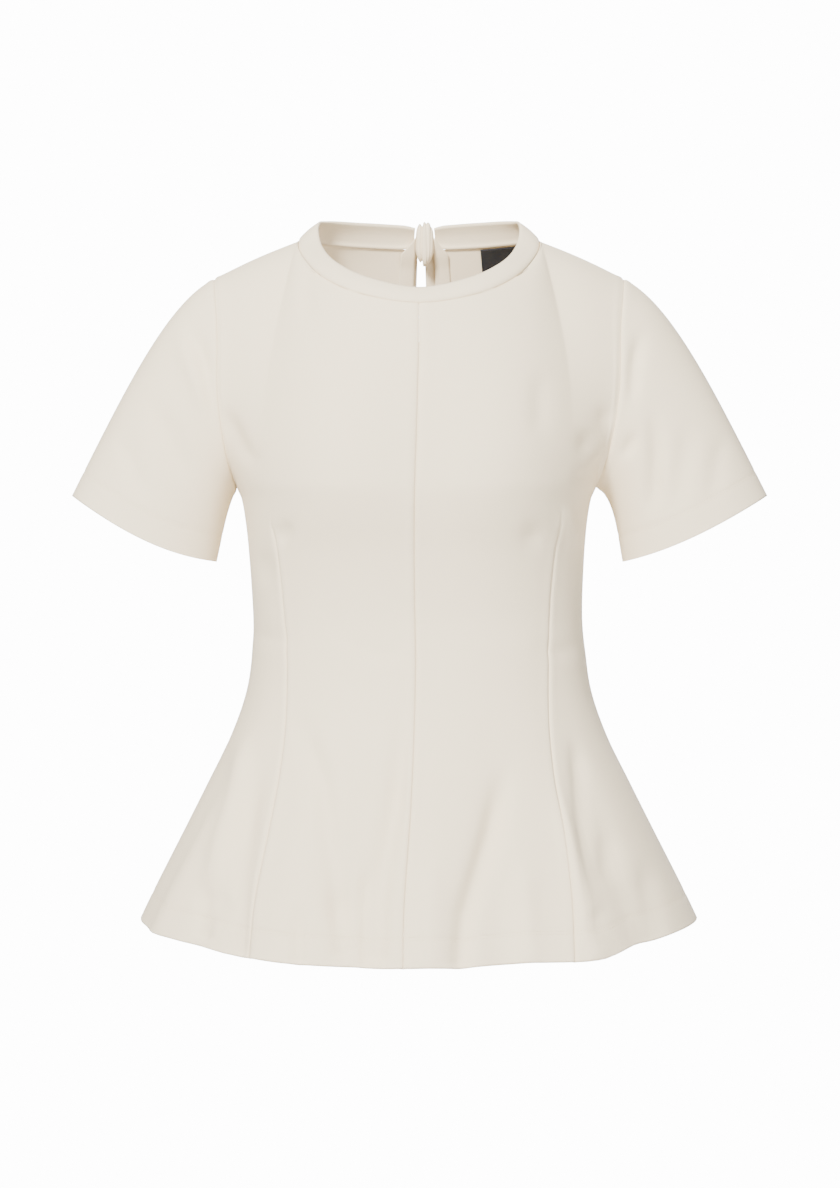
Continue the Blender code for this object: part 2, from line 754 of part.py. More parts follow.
def under_panel(column: float, row: float) -> Vector:
    """Point just inside the right back panel's wall, straight between the panel's own grid corners."""
    step = 0.02

    def corner(at: int, up: int) -> Vector:
        def panel(u: float, v: float) -> Vector:
            return body_point(Face.BACK, Side.RIGHT, u, v)

        point = panel(at, up)
        normal = (panel(at + step, up) - point).cross(point - panel(at, up - step)).normalized()
        if normal.dot(point - BODY_MIDDLE) < 0:
            normal.negate()
        return point - normal * (CLOTH + LAY_GAP)

    left, low = int(column), int(row)
    lower = corner(left, low).lerp(corner(left + 1, low), column - left)
    upper = corner(left, low + 1).lerp(corner(left + 1, low + 1), column - left)
    return lower.lerp(upper, row - low)


def make_label() -> Cloth:
    """A plain woven label inside the back neck, hanging from the neckband's seam."""
    ends = [(180.0 - turn) / (180.0 - NECK_TURN) * CENTRE_COLUMNS for turn in LABEL_TURNS]
    whole = range(int(ends[0]) + 1, int(ends[1]) + 1)
    places = [ends[0], *whole, ends[1]]
    top_row = HEM_ROWS + TIP_ROWS + YOKE_ROWS

    def surface(across: int, up: int) -> Vector:
        column = places[across]
        panel_row = (under_panel(column, top_row - 1) - under_panel(column, top_row - 2)).length
        foot = top_row - LABEL_DEPTH / panel_row
        row = (foot, top_row - 1, top_row - LABEL_TOP_GAP / panel_row)[up]
        return under_panel(column, row)

    return Cloth("neck_label", len(places) - 1, 2, surface)


def make_tail(side: Side) -> Cloth:
    """One free end of the tie, hanging from the knot down the outside of the back."""
    columns, rows = TAIL_GRID

    def surface(across: float, up: float) -> Vector:
        down = 1 - up / rows
        height = TAIL_TOP - TAIL_LENGTH * down
        share = across / columns
        inner = TAIL_INNER_EDGE[side.value] + side.value * TAIL_SPREAD * down**1.5
        x = inner + side.value * TAIL_WIDTH * share
        column = 0.3 + 0.5 * share
        row = row_at_height(Face.BACK, side, column, min(height, -0.006))
        back = body_point(Face.BACK, side, column, row).y
        behind_knot = KNOT_CENTRE.y + KNOT_HALF.y + LAY_GAP
        ripple = TAIL_RIPPLE * (1 - cos(down * 3 * pi + share * 2)) * down
        y = max(back + TAIL_OUT, behind_knot) + FOLDED_CLOTH + ripple
        cut = 0.006 * share * down**6
        return Vector((x, y, height - cut))

    return Cloth(f"tie_tail_{side.name.lower()}", columns, rows, surface)


def make_knot(material: bpy.types.Material) -> bpy.types.Object:
    """The knot of the tie: a soft upright wrap with one groove, pointed at its foot."""
    bm = bmesh.new()
    bmesh.ops.create_uvsphere(bm, u_segments=20, v_segments=12, radius=1.0)
    for vert in bm.verts:
        x, y, z = (abs(c) ** KNOT_SQUARE * (1 if c >= 0 else -1) for c in vert.co)
        narrow = 1 - KNOT_POINT * max(-z - 0.25, 0.0) ** 1.5
        groove = KNOT_GROOVE * exp(-(((x - KNOT_GROOVE_AT) / 0.16) ** 2))
        place = Vector((x * narrow * KNOT_HALF.x, y * KNOT_HALF.y, z * KNOT_HALF.z))
        vert.co = KNOT_CENTRE + place * (1 - groove / KNOT_HALF.y)
    bmesh.ops.recalc_face_normals(bm, faces=bm.faces)
    return link_mesh(bm, "tie_knot", material)


def clear_scene() -> None:
    """Remove every object and make the part's collection."""
    for obj in list(bpy.data.objects):
        bpy.data.objects.remove(obj, do_unlink=True)
    collection = bpy.data.collections.new(COLLECTION)
    bpy.context.scene.collection.children.link(collection)


def add_trims(cloth: bpy.types.Material) -> None:
    """Add the keyhole's facings, the tie and the label."""
    facings = [make_facing(side) for side in Side]
    tails = [make_tail(side) for side in Side]
    label = make_label()
    trims = [*facings, *tails, label]
    for trim in trims:
        trim.face_outward(BODY_MIDDLE)
        share_normals([trim])
    for facing in facings:
        finish(facing, TRIM_CLOTH, cloth)
    for tail in tails:
        finish(tail, FOLDED_CLOTH, cloth)
    make_knot(cloth)
    finish(label, TRIM_CLOTH, make_material("black_woven_label", LABEL_COLOUR, 0.7))


def main() -> None:
    """Build every piece of the garment."""
    clear_scene()
    cloth = make_material("cream_jersey", CLOTH_COLOUR, 0.9)
    panels = [make_panel(face, side) for face in Face for side in Side]
    sleeves = [make_sleeve(side) for side in Side]
    band = make_neckband()
    for panel in panels:
        panel.face_outward(BODY_MIDDLE)
    for sleeve, side in zip(sleeves, Side):
        sleeve.face_outward(Vector((side.value * SLEEVE_MIDDLE.x, SLEEVE_MIDDLE.y, SLEEVE_MIDDLE.z)))
    band.face_outward(BODY_MIDDLE)
    share_normals([*panels, *sleeves, band])
    for panel in panels:
        panel.cut_column(CENTRE_COLUMNS, HEM_ROWS)
        panel.draw_in((True, True, False, True))
        finish(panel, CLOTH, cloth)
    for sleeve in sleeves:
        sleeve.draw_in((False, False, True, False))
        finish(sleeve, CLOTH, cloth)
    band.draw_in((False, False, True, False), SEAM_GAP)
    finish(band, FOLDED_CLOTH, cloth)
    add_trims(cloth)


main()
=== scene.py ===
"""Looks of a fitted short-sleeved jersey top with a flared hem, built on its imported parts.

Metres, +Z up. Every piece of cloth is the part's own form on a finer grid, with its creases,
seams, turned hems and stitches.
"""

import logging
from bisect import bisect_left
from dataclasses import dataclass
from enum import Enum
from functools import lru_cache
from math import asin, cos, exp, hypot, inf, pi, sin
from typing import Callable, NamedTuple

import bmesh
import bpy
from mathutils import Matrix, Vector

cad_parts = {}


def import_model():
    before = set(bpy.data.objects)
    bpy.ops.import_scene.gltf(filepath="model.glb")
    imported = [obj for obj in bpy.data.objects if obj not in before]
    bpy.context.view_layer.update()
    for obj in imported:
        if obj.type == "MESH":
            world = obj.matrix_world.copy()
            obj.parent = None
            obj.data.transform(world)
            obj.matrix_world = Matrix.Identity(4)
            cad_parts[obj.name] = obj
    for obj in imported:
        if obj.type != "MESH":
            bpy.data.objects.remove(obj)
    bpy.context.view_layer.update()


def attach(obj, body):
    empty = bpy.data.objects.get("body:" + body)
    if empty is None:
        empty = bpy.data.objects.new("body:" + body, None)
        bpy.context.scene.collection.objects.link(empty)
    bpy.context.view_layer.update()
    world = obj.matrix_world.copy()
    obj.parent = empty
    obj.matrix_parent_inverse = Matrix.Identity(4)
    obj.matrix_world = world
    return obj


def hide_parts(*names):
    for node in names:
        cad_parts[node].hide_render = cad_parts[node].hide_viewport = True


LOG = logging.getLogger("fitted_top")

# Cloth and seams
CLOTH = 0.0016
FOLDED_CLOTH = 0.0024
TRIM_CLOTH = 0.0010
SEAM_GAP = 0.0004
LAY_GAP = 0.0004

# Heights of the main levels
UNDERARM_HEIGHT = -0.2115
DART_TIP_HEIGHT = -0.246
SIDE_HEM_HEIGHT = -0.581
FRONT_HEM_DROP = 0.028
BACK_HEM_DROP = 0.022
HEM_CURVE = 1.8
HEM_DIP = 0.0045
HEM_DIP_AT = 0.40
HEM_DIP_WIDTH = 0.10
HEM_TRIES = 4

# Folds of the flared hem
WAVE_START_HEIGHT = -0.360
WAVE_GROWTH = 1.3
WAVE_FADE_SIDE = 0.88
WAVE_FADE_CENTRE = 0.05
CENTRE_SHIFT_FADE = 1.5

# Shoulder seam, from the neckband to the sleeve
NECK_TURN = 95.0
SHOULDER_POINT = Vector((0.1765, 0.006, -0.0315))
SHOULDER_ARCH = 0.0015
NECK_REACH = 0.45
SHOULDER_REACH = 0.80
REACH_ACROSS = (0.45, 0.85)
SHOULDER_RISE = 0.10
YOKE_STEP = 0.004

# Armhole ring
ARMHOLE_TOP = -0.0315
ARMHOLE_FRONT = 0.050
ARMHOLE_BACK = 0.056
ARMHOLE_SCOOP = 0.15
ARMHOLE_SPACING = 0.9

# Sleeve
CUFF_CENTRE = Vector((0.2363, 0.0020, -0.2468))
CUFF_LONG = Vector((0.0623, 0.0, 0.0285))
CUFF_DEEP = 0.043
LEFT_CUFF_BOW = 0.0085
RIGHT_CUFF_BOW = 0.0055
CUFF_BOW_SKEW = 0.3
RIGHT_CUFF_OUT = 0.0012
RIGHT_UNDER_OUT = 0.0050
SLEEVE_TOP_START = Vector((0.90, 0.0, -0.44))
SLEEVE_TOP_END = Vector((0.447, 0.0, -0.894))
SLEEVE_UNDER_START = Vector((0.50, 0.0, -0.87))
SLEEVE_UNDER_END = Vector((0.26, 0.0, -0.966))
SLEEVE_TOP_REACH = (0.045, 0.100)
SLEEVE_UNDER_REACH = (0.020, 0.020)

# Bust
BUST_AWAY = 0.078
BUST_HEIGHT = -0.188
BUST_PUSH = 0.012
BUST_TOP = -0.045
BUST_FADE = 0.060
BUST_SPREAD_ACROSS = 0.042
BUST_SPREAD_UP = 0.052

# Keyhole at the back neck and its tie
KEYHOLE_CENTRE = 0.005
KEYHOLE_BOTTOM = -0.105
KEYHOLE_HALF_WIDTH = 0.0092
KEYHOLE_WIDEST = 0.72
KEYHOLE_SPREAD = 0.25
KEYHOLE_ROUND = 0.8
KEYHOLE_CLOSE = 0.18
KEYHOLE_SHIFT_HEIGHTS = (-0.30, -0.08)
KEYHOLE_SHIFT_ACROSS = 0.4
BAND_END_TURN = 5.2
BAND_END_NARROWING = 0.30
BAND_ROUND = 0.0015
BAND_END_FADE = (168.0, 180.0)
BAND_FRONT_FADE = (60.0, 0.0)
BAND_BACK_FADE = (140.0, 176.0)
FACING_COLUMNS = 0.75
FACING_BOTTOM = -0.118
FACING_TOP = (0.0085, -0.0060)
FACING_ON_BAND = 0.0010
KNOT_CENTRE = Vector((0.0050, 0.0585, 0.0030))
KNOT_HALF = Vector((0.0080, 0.0085, 0.0195))
KNOT_SQUARE = 0.72
KNOT_POINT = 0.62
TAIL_INNER_EDGE = {-1: -0.0012, 1: 0.0052}
TAIL_WIDTH = 0.020
TAIL_TOP = -0.0040
TAIL_LENGTH = 0.165
TAIL_OUT = 0.0008
TAIL_SPREAD = 0.012
TAIL_RIPPLE = 0.0015

# Label inside the back neck
LABEL_TURNS = (152.0, 119.0)
LABEL_DEPTH = 0.030
LABEL_TOP_GAP = 0.0010

# Grid counts
CENTRE_COLUMNS = 8
SIDE_COLUMNS = 6
HEM_ROWS = 15
TIP_ROWS = 2
YOKE_ROWS = 11
SLEEVE_ROWS = 8
NECK_ACROSS = 0.6
ARM_ROW = HEM_ROWS + TIP_ROWS
TOP_ROW = ARM_ROW + YOKE_ROWS
HALF_TURN = 180.0
ROW_TRIES = 24

# Places where pieces meet, and points well inside the hollows
MEETING_GRID = 0.00005
MEETING_SMOOTH = 0.5
BODY_MIDDLE = Vector((0.0, 0.0, -0.30))
SLEEVE_MIDDLE = Vector((0.215, 0.003, -0.160))

# Finer grid
FINE = 4
FIRST_ROWS_FINE = 2
SEAM_STEPS = (0.05, 0.1, 0.15)
PLACE_DIGITS = 4
SMALLEST = 1e-9
YOKE_SMOOTHING = 24

# Turned hems and cuffs, and their twin rows of stitches
HEM_TURNING = 0.0258
HEM_LINES = (0.0232, 0.0258)
CUFF_TURNING = 0.0240
CUFF_LINES = (0.0215, 0.0240)
TURNING_WALL = 0.0013
STITCH_PITCH = 0.0032
STITCH_LONG = 0.0024
STITCH_THICK = 0.00042
STITCH_PROUD = 0.1
GROOVE_DEPTH = 0.00035
GROOVE_WIDTH = 0.0009

# Seams
SEAM_DEPTH = 0.0009
SEAM_WIDTH = 0.0010
SEAM_RIDGE = 0.0005
SEAM_RIDGE_AT = 0.0042
SEAM_RIDGE_WIDTH = 0.0022
CLOSE_SEAM = 0.00002
EDGE_ROUND = 0.9

# Creases: how deep they are taken, how far they reach, and where they fade along their line
FOLD_STRENGTH = 2.3
FOLD_REACH = 3
FOLD_START_FADE = (-0.05, 0.35)
FOLD_END_FADE = (1.05, 0.65)

# Camera: its place, the height of the view at the garment, and its sensor in mm
EYE = Vector((0.0009, -3.5, -0.303))
VIEW_HEIGHT = 1.022
SENSOR = 24.0
MM_PER_METRE = 1000
METRES_PER_MM = 0.001


class Face(Enum):
    """Front or back of the body; the value is the sign of its depth."""

    FRONT = -1
    BACK = 1


class Side(Enum):
    """Left or right as the viewer sees the front; the value is the sign of X."""

    LEFT = -1
    RIGHT = 1


class Level(NamedTuple):
    """One level section of the body: half width, depths from the side seams, and squareness."""

    height: float
    half_width: float
    front: float
    back: float
    square: float


class NeckStation(NamedTuple):
    """A place round the neck: the neckband's seam to the body, and its free edge."""

    turn: float
    seam_x: float
    seam_y: float
    seam_z: float
    edge_x: float
    edge_y: float
    edge_z: float


class Place(NamedTuple):
    """Distance from the middle at a height."""

    height: float
    away: float


class Wave(NamedTuple):
    """A soft fold of the flared hem: where it lies, its width and its depth at the hem, + out."""

    side: Side
    at: float
    width: float
    depth: float
    lean: float


LEVELS = (
    Level(-0.6200, 0.2560, 0.180, 0.169, 2.12),
    Level(-0.5810, 0.2387, 0.168, 0.158, 2.15),
    Level(-0.5530, 0.2253, 0.159, 0.150, 2.15),
    Level(-0.5014, 0.1991, 0.143, 0.136, 2.20),
    Level(-0.4627, 0.1797, 0.130, 0.125, 2.20),
    Level(-0.4240, 0.1608, 0.117, 0.113, 2.25),
    Level(-0.3850, 0.1475, 0.107, 0.102, 2.30),
    Level(-0.3466, 0.1423, 0.102, 0.0945, 2.35),
    Level(-0.3208, 0.1410, 0.101, 0.092, 2.35),
    Level(-0.2690, 0.1436, 0.108, 0.095, 2.30),
    Level(-0.2434, 0.1460, 0.114, 0.099, 2.30),
    Level(-0.2200, 0.1500, 0.1185, 0.103, 2.27),
    Level(-0.2115, 0.1540, 0.119, 0.104, 2.25),
    Level(-0.1800, 0.1600, 0.118, 0.107, 2.25),
)

NECK = (
    NeckStation(0.0, 0.0000, -0.0880, -0.0588, 0.0000, -0.0780, -0.0446),
    NeckStation(30.0, 0.0515, -0.0790, -0.0500, 0.0430, -0.0700, -0.0357),
    NeckStation(55.0, 0.0835, -0.0540, -0.0335, 0.0705, -0.0490, -0.0210),
    NeckStation(78.0, 0.1010, -0.0220, -0.0125, 0.0835, -0.0200, -0.0040),
    NeckStation(95.0, 0.1040, 0.0020, 0.0005, 0.0870, 0.0030, 0.0150),
    NeckStation(120.0, 0.0925, 0.0340, 0.0020, 0.0800, 0.0290, 0.0205),
    NeckStation(150.0, 0.0535, 0.0565, 0.0000, 0.0460, 0.0480, 0.0205),
    NeckStation(180.0, 0.0000, 0.0630, -0.0015, 0.0000, 0.0540, 0.0185),
)

ARMHOLE = (
    Place(-0.2115, 0.1540),
    Place(-0.1900, 0.1605),
    Place(-0.1650, 0.1660),
    Place(-0.1300, 0.1705),
    Place(-0.0750, 0.1722),
    Place(-0.0315, 0.1765),
)

DART = (
    Place(-0.6200, 0.1350),
    Place(-0.5624, 0.1310),
    Place(-0.5000, 0.1215),
    Place(-0.4500, 0.1145),
    Place(-0.4000, 0.1108),
    Place(-0.3300, 0.1118),
    Place(-0.2700, 0.1170),
    Place(-0.2460, 0.1220),
)

CENTRE_SHIFT = (
    Place(-0.6200, -0.0130),
    Place(-0.5600, -0.0120),
    Place(-0.4800, -0.0065),
    Place(-0.3900, -0.0030),
    Place(-0.2500, -0.0015),
    Place(-0.1000, 0.0),
)

SWAY = (
    Place(-0.3600, 0.0),
    Place(-0.3000, -0.0015),
    Place(-0.2200, -0.0022),
    Place(-0.1700, -0.0012),
    Place(-0.1000, 0.0),
)

WAVES = {
    Face.FRONT: (
        Wave(Side.LEFT, 0.10, 0.055, -0.0060, 0.02),
        Wave(Side.LEFT, 0.27, 0.070, 0.0040, 0.03),
        Wave(Side.LEFT, 0.52, 0.060, -0.0045, -0.02),
        Wave(Side.LEFT, 0.70, 0.055, 0.0050, -0.04),
        Wave(Side.RIGHT, 0.05, 0.060, 0.0025, 0.0),
        Wave(Side.RIGHT, 0.19, 0.060, -0.0060, 0.05),
        Wave(Side.RIGHT, 0.40, 0.065, 0.0055, 0.0),
        Wave(Side.RIGHT, 0.55, 0.050, -0.0045, 0.03),
    ),
    Face.BACK: (
        Wave(Side.LEFT, 0.14, 0.060, -0.0050, 0.02),
        Wave(Side.LEFT, 0.36, 0.070, 0.0055, 0.01),
        Wave(Side.LEFT, 0.62, 0.060, -0.0045, -0.02),
        Wave(Side.RIGHT, 0.10, 0.055, -0.0045, 0.03),
        Wave(Side.RIGHT, 0.33, 0.065, 0.0050, 0.0),
        Wave(Side.RIGHT, 0.58, 0.060, -0.0050, 0.02),
    ),
}


@lru_cache(maxsize=None)
def slopes(rows: tuple, column: str, flat_ends: bool) -> tuple[list[float], list[float], list[float]]:
    """Keys, values and slopes of a named column of a table.

    Args:
        rows: the table.
        column: the column's name.
        flat_ends: whether the curve runs level at both ends.

    Returns:
        The keys, the values and the slopes.
    """
    keys = [row[0] for row in rows]
    values = [getattr(row, column) for row in rows]
    last = len(rows) - 1
    found = []
    for n in range(len(rows)):
        low, high = max(n - 1, 0), min(n + 1, last)
        level = flat_ends and n in (0, last)
        found.append(0.0 if level else (values[high] - values[low]) / (keys[high] - keys[low]))
    return keys, values, found


@lru_cache(maxsize=200000)
def read(rows: tuple, column: str, at: float, flat_ends: bool = False) -> float:
    """Smooth value of a named column at a place along the rows' first column.

    Args:
        rows: the table.
        column: the column's name.
        at: the place.
        flat_ends: whether the curve runs level at both ends.

    Returns:
        The value.
    """
    keys, values, runs = slopes(rows, column, flat_ends)
    at = min(max(at, keys[0]), keys[-1])
    i = max(bisect_left(keys, at) - 1, 0)
    span = keys[i + 1] - keys[i]
    t = (at - keys[i]) / span
    return (
        (2 * t**3 - 3 * t**2 + 1) * values[i]
        + (t**3 - 2 * t**2 + t) * span * runs[i]
        + (3 * t**2 - 2 * t**3) * values[i + 1]
        + (t**3 - t**2) * span * runs[i + 1]
    )


def ease(low: float, high: float, at: float) -> float:
    """0 below low, 1 above high, smooth between; low may be the larger one.

    Args:
        low: where it starts.
        high: where it ends.
        at: the place.

    Returns:
        A share from 0 to 1.
    """
    t = min(max((at - low) / (high - low), 0.0), 1.0)
    return t * t * (3.0 - 2.0 * t)


def hermite(start: Vector, leave: Vector, end: Vector, arrive: Vector, t: float) -> Vector:
    """Point of a cubic curve from its ends and its end speeds.

    Args:
        start: first end.
        leave: speed there.
        end: last end.
        arrive: speed there.
        t: place along, from 0 to 1.

    Returns:
        The point.
    """
    return (
        (2 * t**3 - 3 * t**2 + 1) * start
        + (t**3 - 2 * t**2 + t) * leave
        + (3 * t**2 - 2 * t**3) * end
        + (t**3 - t**2) * arrive
    )


def neck_seam(turn: float) -> Vector:
    """Seam of the neckband at a turn from the centre front, in degrees, right side.

    Args:
        turn: the turn, from 0 at the front to 180 at the back.

    Returns:
        The point.
    """
    return Vector(
        (
            read(NECK, "seam_x", turn),
            read(NECK, "seam_y", turn, True),
            read(NECK, "seam_z", turn, True),
        )
    )


def neck_edge(turn: float) -> Vector:
    """Free edge of the neckband at a turn from the centre front, in degrees, right side.

    Args:
        turn: the turn, from 0 at the front to 180 at the back.

    Returns:
        The point.
    """
    return Vector(
        (
            read(NECK, "edge_x", turn),
            read(NECK, "edge_y", turn, True),
            read(NECK, "edge_z", turn, True),
        )
    )


def armhole(angle: float, face: Face) -> Vector:
    """Point of the right armhole: angle 0 at the shoulder, pi under the arm.

    Args:
        angle: angle round the armhole.
        face: front or back.

    Returns:
        The point.
    """
    middle = (ARMHOLE_TOP + UNDERARM_HEIGHT) / 2
    radius = (ARMHOLE_TOP - UNDERARM_HEIGHT) / 2
    height = middle + radius * cos(angle)
    depth = ARMHOLE_FRONT if face is Face.FRONT else ARMHOLE_BACK
    scoop = 1.0 - ARMHOLE_SCOOP * cos(angle)
    centre = SHOULDER_POINT.y * (1 + cos(angle)) / 2
    y = centre + face.value * depth * sin(angle) * scoop
    return Vector((read(ARMHOLE, "away", height), y, height))


def armhole_angle(share: float) -> float:
    """Angle round the armhole at a share of the way from the underarm to the shoulder.

    Args:
        share: the share, from 0 to 1.

    Returns:
        The angle in radians.
    """
    return pi * (1.0 - share**ARMHOLE_SPACING)


def section(face: Face, across: float, height: float) -> Vector:
    """Point of the level section of the right half: across 0 at the centre, 1 at the side seam.

    Args:
        face: front or back.
        across: place across.
        height: height of the section.

    Returns:
        The point.
    """
    square = read(LEVELS, "square", height)
    depth = read(LEVELS, "front" if face is Face.FRONT else "back", height)
    angle = across * pi / 2
    x = read(LEVELS, "half_width", height) * sin(angle) ** (2 / square)
    y = face.value * depth * max(cos(angle), 0.0) ** (2 / square)
    return Vector((x, y, height))


@lru_cache(maxsize=None)
def hem_height(face: Face, side: Side, across: float) -> float:
    """Height of the hem, which is lowest at the centre line and dips at one fold of the front.

    Args:
        face: front or back.
        side: left or right.
        across: place across.

    Returns:
        The height.
    """
    drop = FRONT_HEM_DROP if face is Face.FRONT else BACK_HEM_DROP
    height = SIDE_HEM_HEIGHT - drop * cos(across * pi / 2) ** HEM_CURVE
    if face is Face.FRONT and side is Side.RIGHT:
        height -= HEM_DIP * exp(-(((across - HEM_DIP_AT) / HEM_DIP_WIDTH) ** 2))
    return height


@lru_cache(maxsize=None)
def dart_across(height: float) -> float:
    """Place across the section of the dart's line; it runs on to the neck point.

    Args:
        height: height of the section.

    Returns:
        The place, 0 at the centre and 1 at the side seam.
    """
    share = read(DART, "away", height) / read(LEVELS, "half_width", height)
    dart = asin(share ** (read(LEVELS, "square", height) / 2)) * 2 / pi
    to_neck = ease(DART_TIP_HEIGHT, UNDERARM_HEIGHT, height)
    return dart * (1 - to_neck) + NECK_ACROSS * to_neck


def column_across(column: float, height: float) -> float:
    """Place across the section of a grid column, so that one column lies on the dart.

    Args:
        column: grid column.
        height: height of the section.

    Returns:
        The place, 0 at the centre and 1 at the side seam.
    """
    dart = dart_across(height)
    if column <= CENTRE_COLUMNS:
        return dart * column / CENTRE_COLUMNS
    return dart + (1 - dart) * (column - CENTRE_COLUMNS) / SIDE_COLUMNS


def wave_push(face: Face, side: Side, across: float, height: float) -> float:
    """How far the folds of the flared hem push the cloth out.

    Args:
        face: front or back.
        side: left or right.
        across: place across.
        height: height of the place.

    Returns:
        The distance, + out.
    """
    growth = ease(WAVE_START_HEIGHT, SIDE_HEM_HEIGHT, height) ** WAVE_GROWTH
    push = 0.0
    for wave in WAVES[face]:
        if wave.side is side:
            at = wave.at + wave.lean * (1 - growth)
            push += wave.depth * exp(-(((across - at) / wave.width) ** 2))
    return push * growth * ease(1.0, WAVE_FADE_SIDE, across) * ease(0.0, WAVE_FADE_CENTRE, across)


def bust_push(away: float, across: float, height: float) -> float:
    """How far the bust fills the front out at a place.

    Args:
        away: distance from the middle.
        across: place across.
        height: height of the place.

    Returns:
        The distance towards the front.
    """
    over = ((away - BUST_AWAY) / BUST_SPREAD_ACROSS) ** 2
    up = ((height - BUST_HEIGHT) / BUST_SPREAD_UP) ** 2
    fade = (1 - across**6) * ease(BUST_TOP, BUST_TOP - BUST_FADE, height)
    return BUST_PUSH * exp(-(over + up) / 2) * fade


def top_edge(face: Face, across: float) -> Vector:
    """Point of a panel's top edge: the neckline up to the neck point, then the shoulder seam.

    Args:
        face: front or back.
        across: place across.

    Returns:
        The point on the right half.
    """
    if across <= NECK_ACROSS:
        centre_turn = 0.0 if face is Face.FRONT else HALF_TURN
        return neck_seam(centre_turn + (NECK_TURN - centre_turn) * across / NECK_ACROSS)
    share = (across - NECK_ACROSS) / (1 - NECK_ACROSS)
    point = neck_seam(NECK_TURN).lerp(SHOULDER_POINT, share)
    return point + Vector((0, 0, SHOULDER_ARCH * sin(share * pi)))


def top_run(face: Face, across: float) -> Vector:
    """Direction in which a panel reaches its top edge; at the neck it turns to run along the seam.

    Args:
        face: front or back.
        across: place across.

    Returns:
        The direction, of length 1.
    """
    over = Vector((0, -face.value, SHOULDER_RISE)).normalized()
    if across >= NECK_ACROSS:
        return over
    centre_turn = 0.0 if face is Face.FRONT else HALF_TURN
    turn = centre_turn + (NECK_TURN - centre_turn) * across / NECK_ACROSS
    band = (neck_edge(turn) - neck_seam(turn)).normalized()
    along = (neck_seam(turn - face.value) - neck_seam(turn + face.value)).normalized()
    sideways = ease(0.0, NECK_ACROSS, across)
    return band.lerp(along.lerp(over, sideways), sideways).normalized()


def top_reach(across: float) -> float:
    """How long a panel's columns run straight before the top edge, as a share of their length.

    Args:
        across: place across.

    Returns:
        The share.
    """
    return NECK_REACH + (SHOULDER_REACH - NECK_REACH) * ease(*REACH_ACROSS, across)


@lru_cache(maxsize=None)
def yoke_column(face: Face, across: float, at: float) -> tuple[Vector, Vector, Vector, Vector]:
    """Ends and end speeds of a column between the underarm level and the top edge.

    Args:
        face: front or back.
        across: place across that sets how the column climbs from the underarm level.
        at: place across of the column itself.

    Returns:
        Foot, its speed, top and its speed.
    """
    low = section(face, across, UNDERARM_HEIGHT)
    climb = (section(face, across, UNDERARM_HEIGHT + YOKE_STEP) - low) / YOKE_STEP
    foot = section(face, at, UNDERARM_HEIGHT)
    top = top_edge(face, at)
    chord = (top - foot).length
    return foot, climb * chord, top, top_run(face, at) * chord * top_reach(at)


def yoke_point(face: Face, across: float, share: float) -> Vector:
    """Point between the underarm level and the top edge of the right half.

    Args:
        face: front or back.
        across: place across.
        share: share of the way up.

    Returns:
        The point.
    """
    edge = armhole(armhole_angle(share), face)
    side_run = hermite(*yoke_column(face, across, 1.0), share)
    return hermite(*yoke_column(face, across, across), share) + (edge - side_run) * across**4


def skirt_place(face: Face, side: Side, column: float, row: float) -> tuple[float, float]:
    """Height and place across of a grid place between the hem and the underarm level.

    Args:
        face: front or back.
        side: left or right.
        column: grid column.
        row: grid row.

    Returns:
        The height and the place across.
    """
    if row > HEM_ROWS:
        height = DART_TIP_HEIGHT + (UNDERARM_HEIGHT - DART_TIP_HEIGHT) * (row - HEM_ROWS) / TIP_ROWS
        return height, column_across(column, height)
    height = SIDE_HEM_HEIGHT
    across = column_across(column, height)
    for _ in range(HEM_TRIES):
        foot = hem_height(face, side, across)
        height = foot + (DART_TIP_HEIGHT - foot) * row / HEM_ROWS
        across = column_across(column, height)
    return height, across


def body_point(face: Face, side: Side, column: float, row: float) -> Vector:
    """Point on the outside of a body panel from its grid column and row.

    Args:
        face: front or back.
        side: left or right.
        column: grid column.
        row: grid row.

    Returns:
        The point.
    """
    if row > ARM_ROW:
        across = column_across(column, UNDERARM_HEIGHT)
        point = yoke_point(face, across, (row - ARM_ROW) / YOKE_ROWS)
    else:
        height, across = skirt_place(face, side, column, row)
        point = section(face, across, height)
        outward = Vector((sin(across * pi / 2), face.value * cos(across * pi / 2), 0))
        point += outward * wave_push(face, side, across, height)
    if face is Face.FRONT:
        point.y -= bust_push(point.x, across, point.z)
        shift = read(CENTRE_SHIFT, "away", point.z) * (1 - across) ** CENTRE_SHIFT_FADE
    else:
        shift = KEYHOLE_CENTRE * ease(*KEYHOLE_SHIFT_HEIGHTS, point.z)
        shift *= ease(KEYHOLE_SHIFT_ACROSS, 0.0, across)
        point.x += keyhole_half_width(point.z) * max(1 - across / KEYHOLE_SPREAD, 0.0)
    return Vector((side.value * point.x + shift + read(SWAY, "away", point.z), point.y, point.z))


def keyhole_half_width(height: float) -> float:
    """Half of the keyhole's width at a height: a drop that closes at its bottom.

    Args:
        height: height of the place.

    Returns:
        The half width.
    """
    share = (height - KEYHOLE_BOTTOM) / -KEYHOLE_BOTTOM
    if share <= 0:
        return 0.0
    rise = sin(min(share / KEYHOLE_WIDEST, 1.0) * pi / 2) ** KEYHOLE_ROUND
    close = 1.0 - KEYHOLE_CLOSE * ease(KEYHOLE_WIDEST, 1.0, share)
    return KEYHOLE_HALF_WIDTH * rise * close


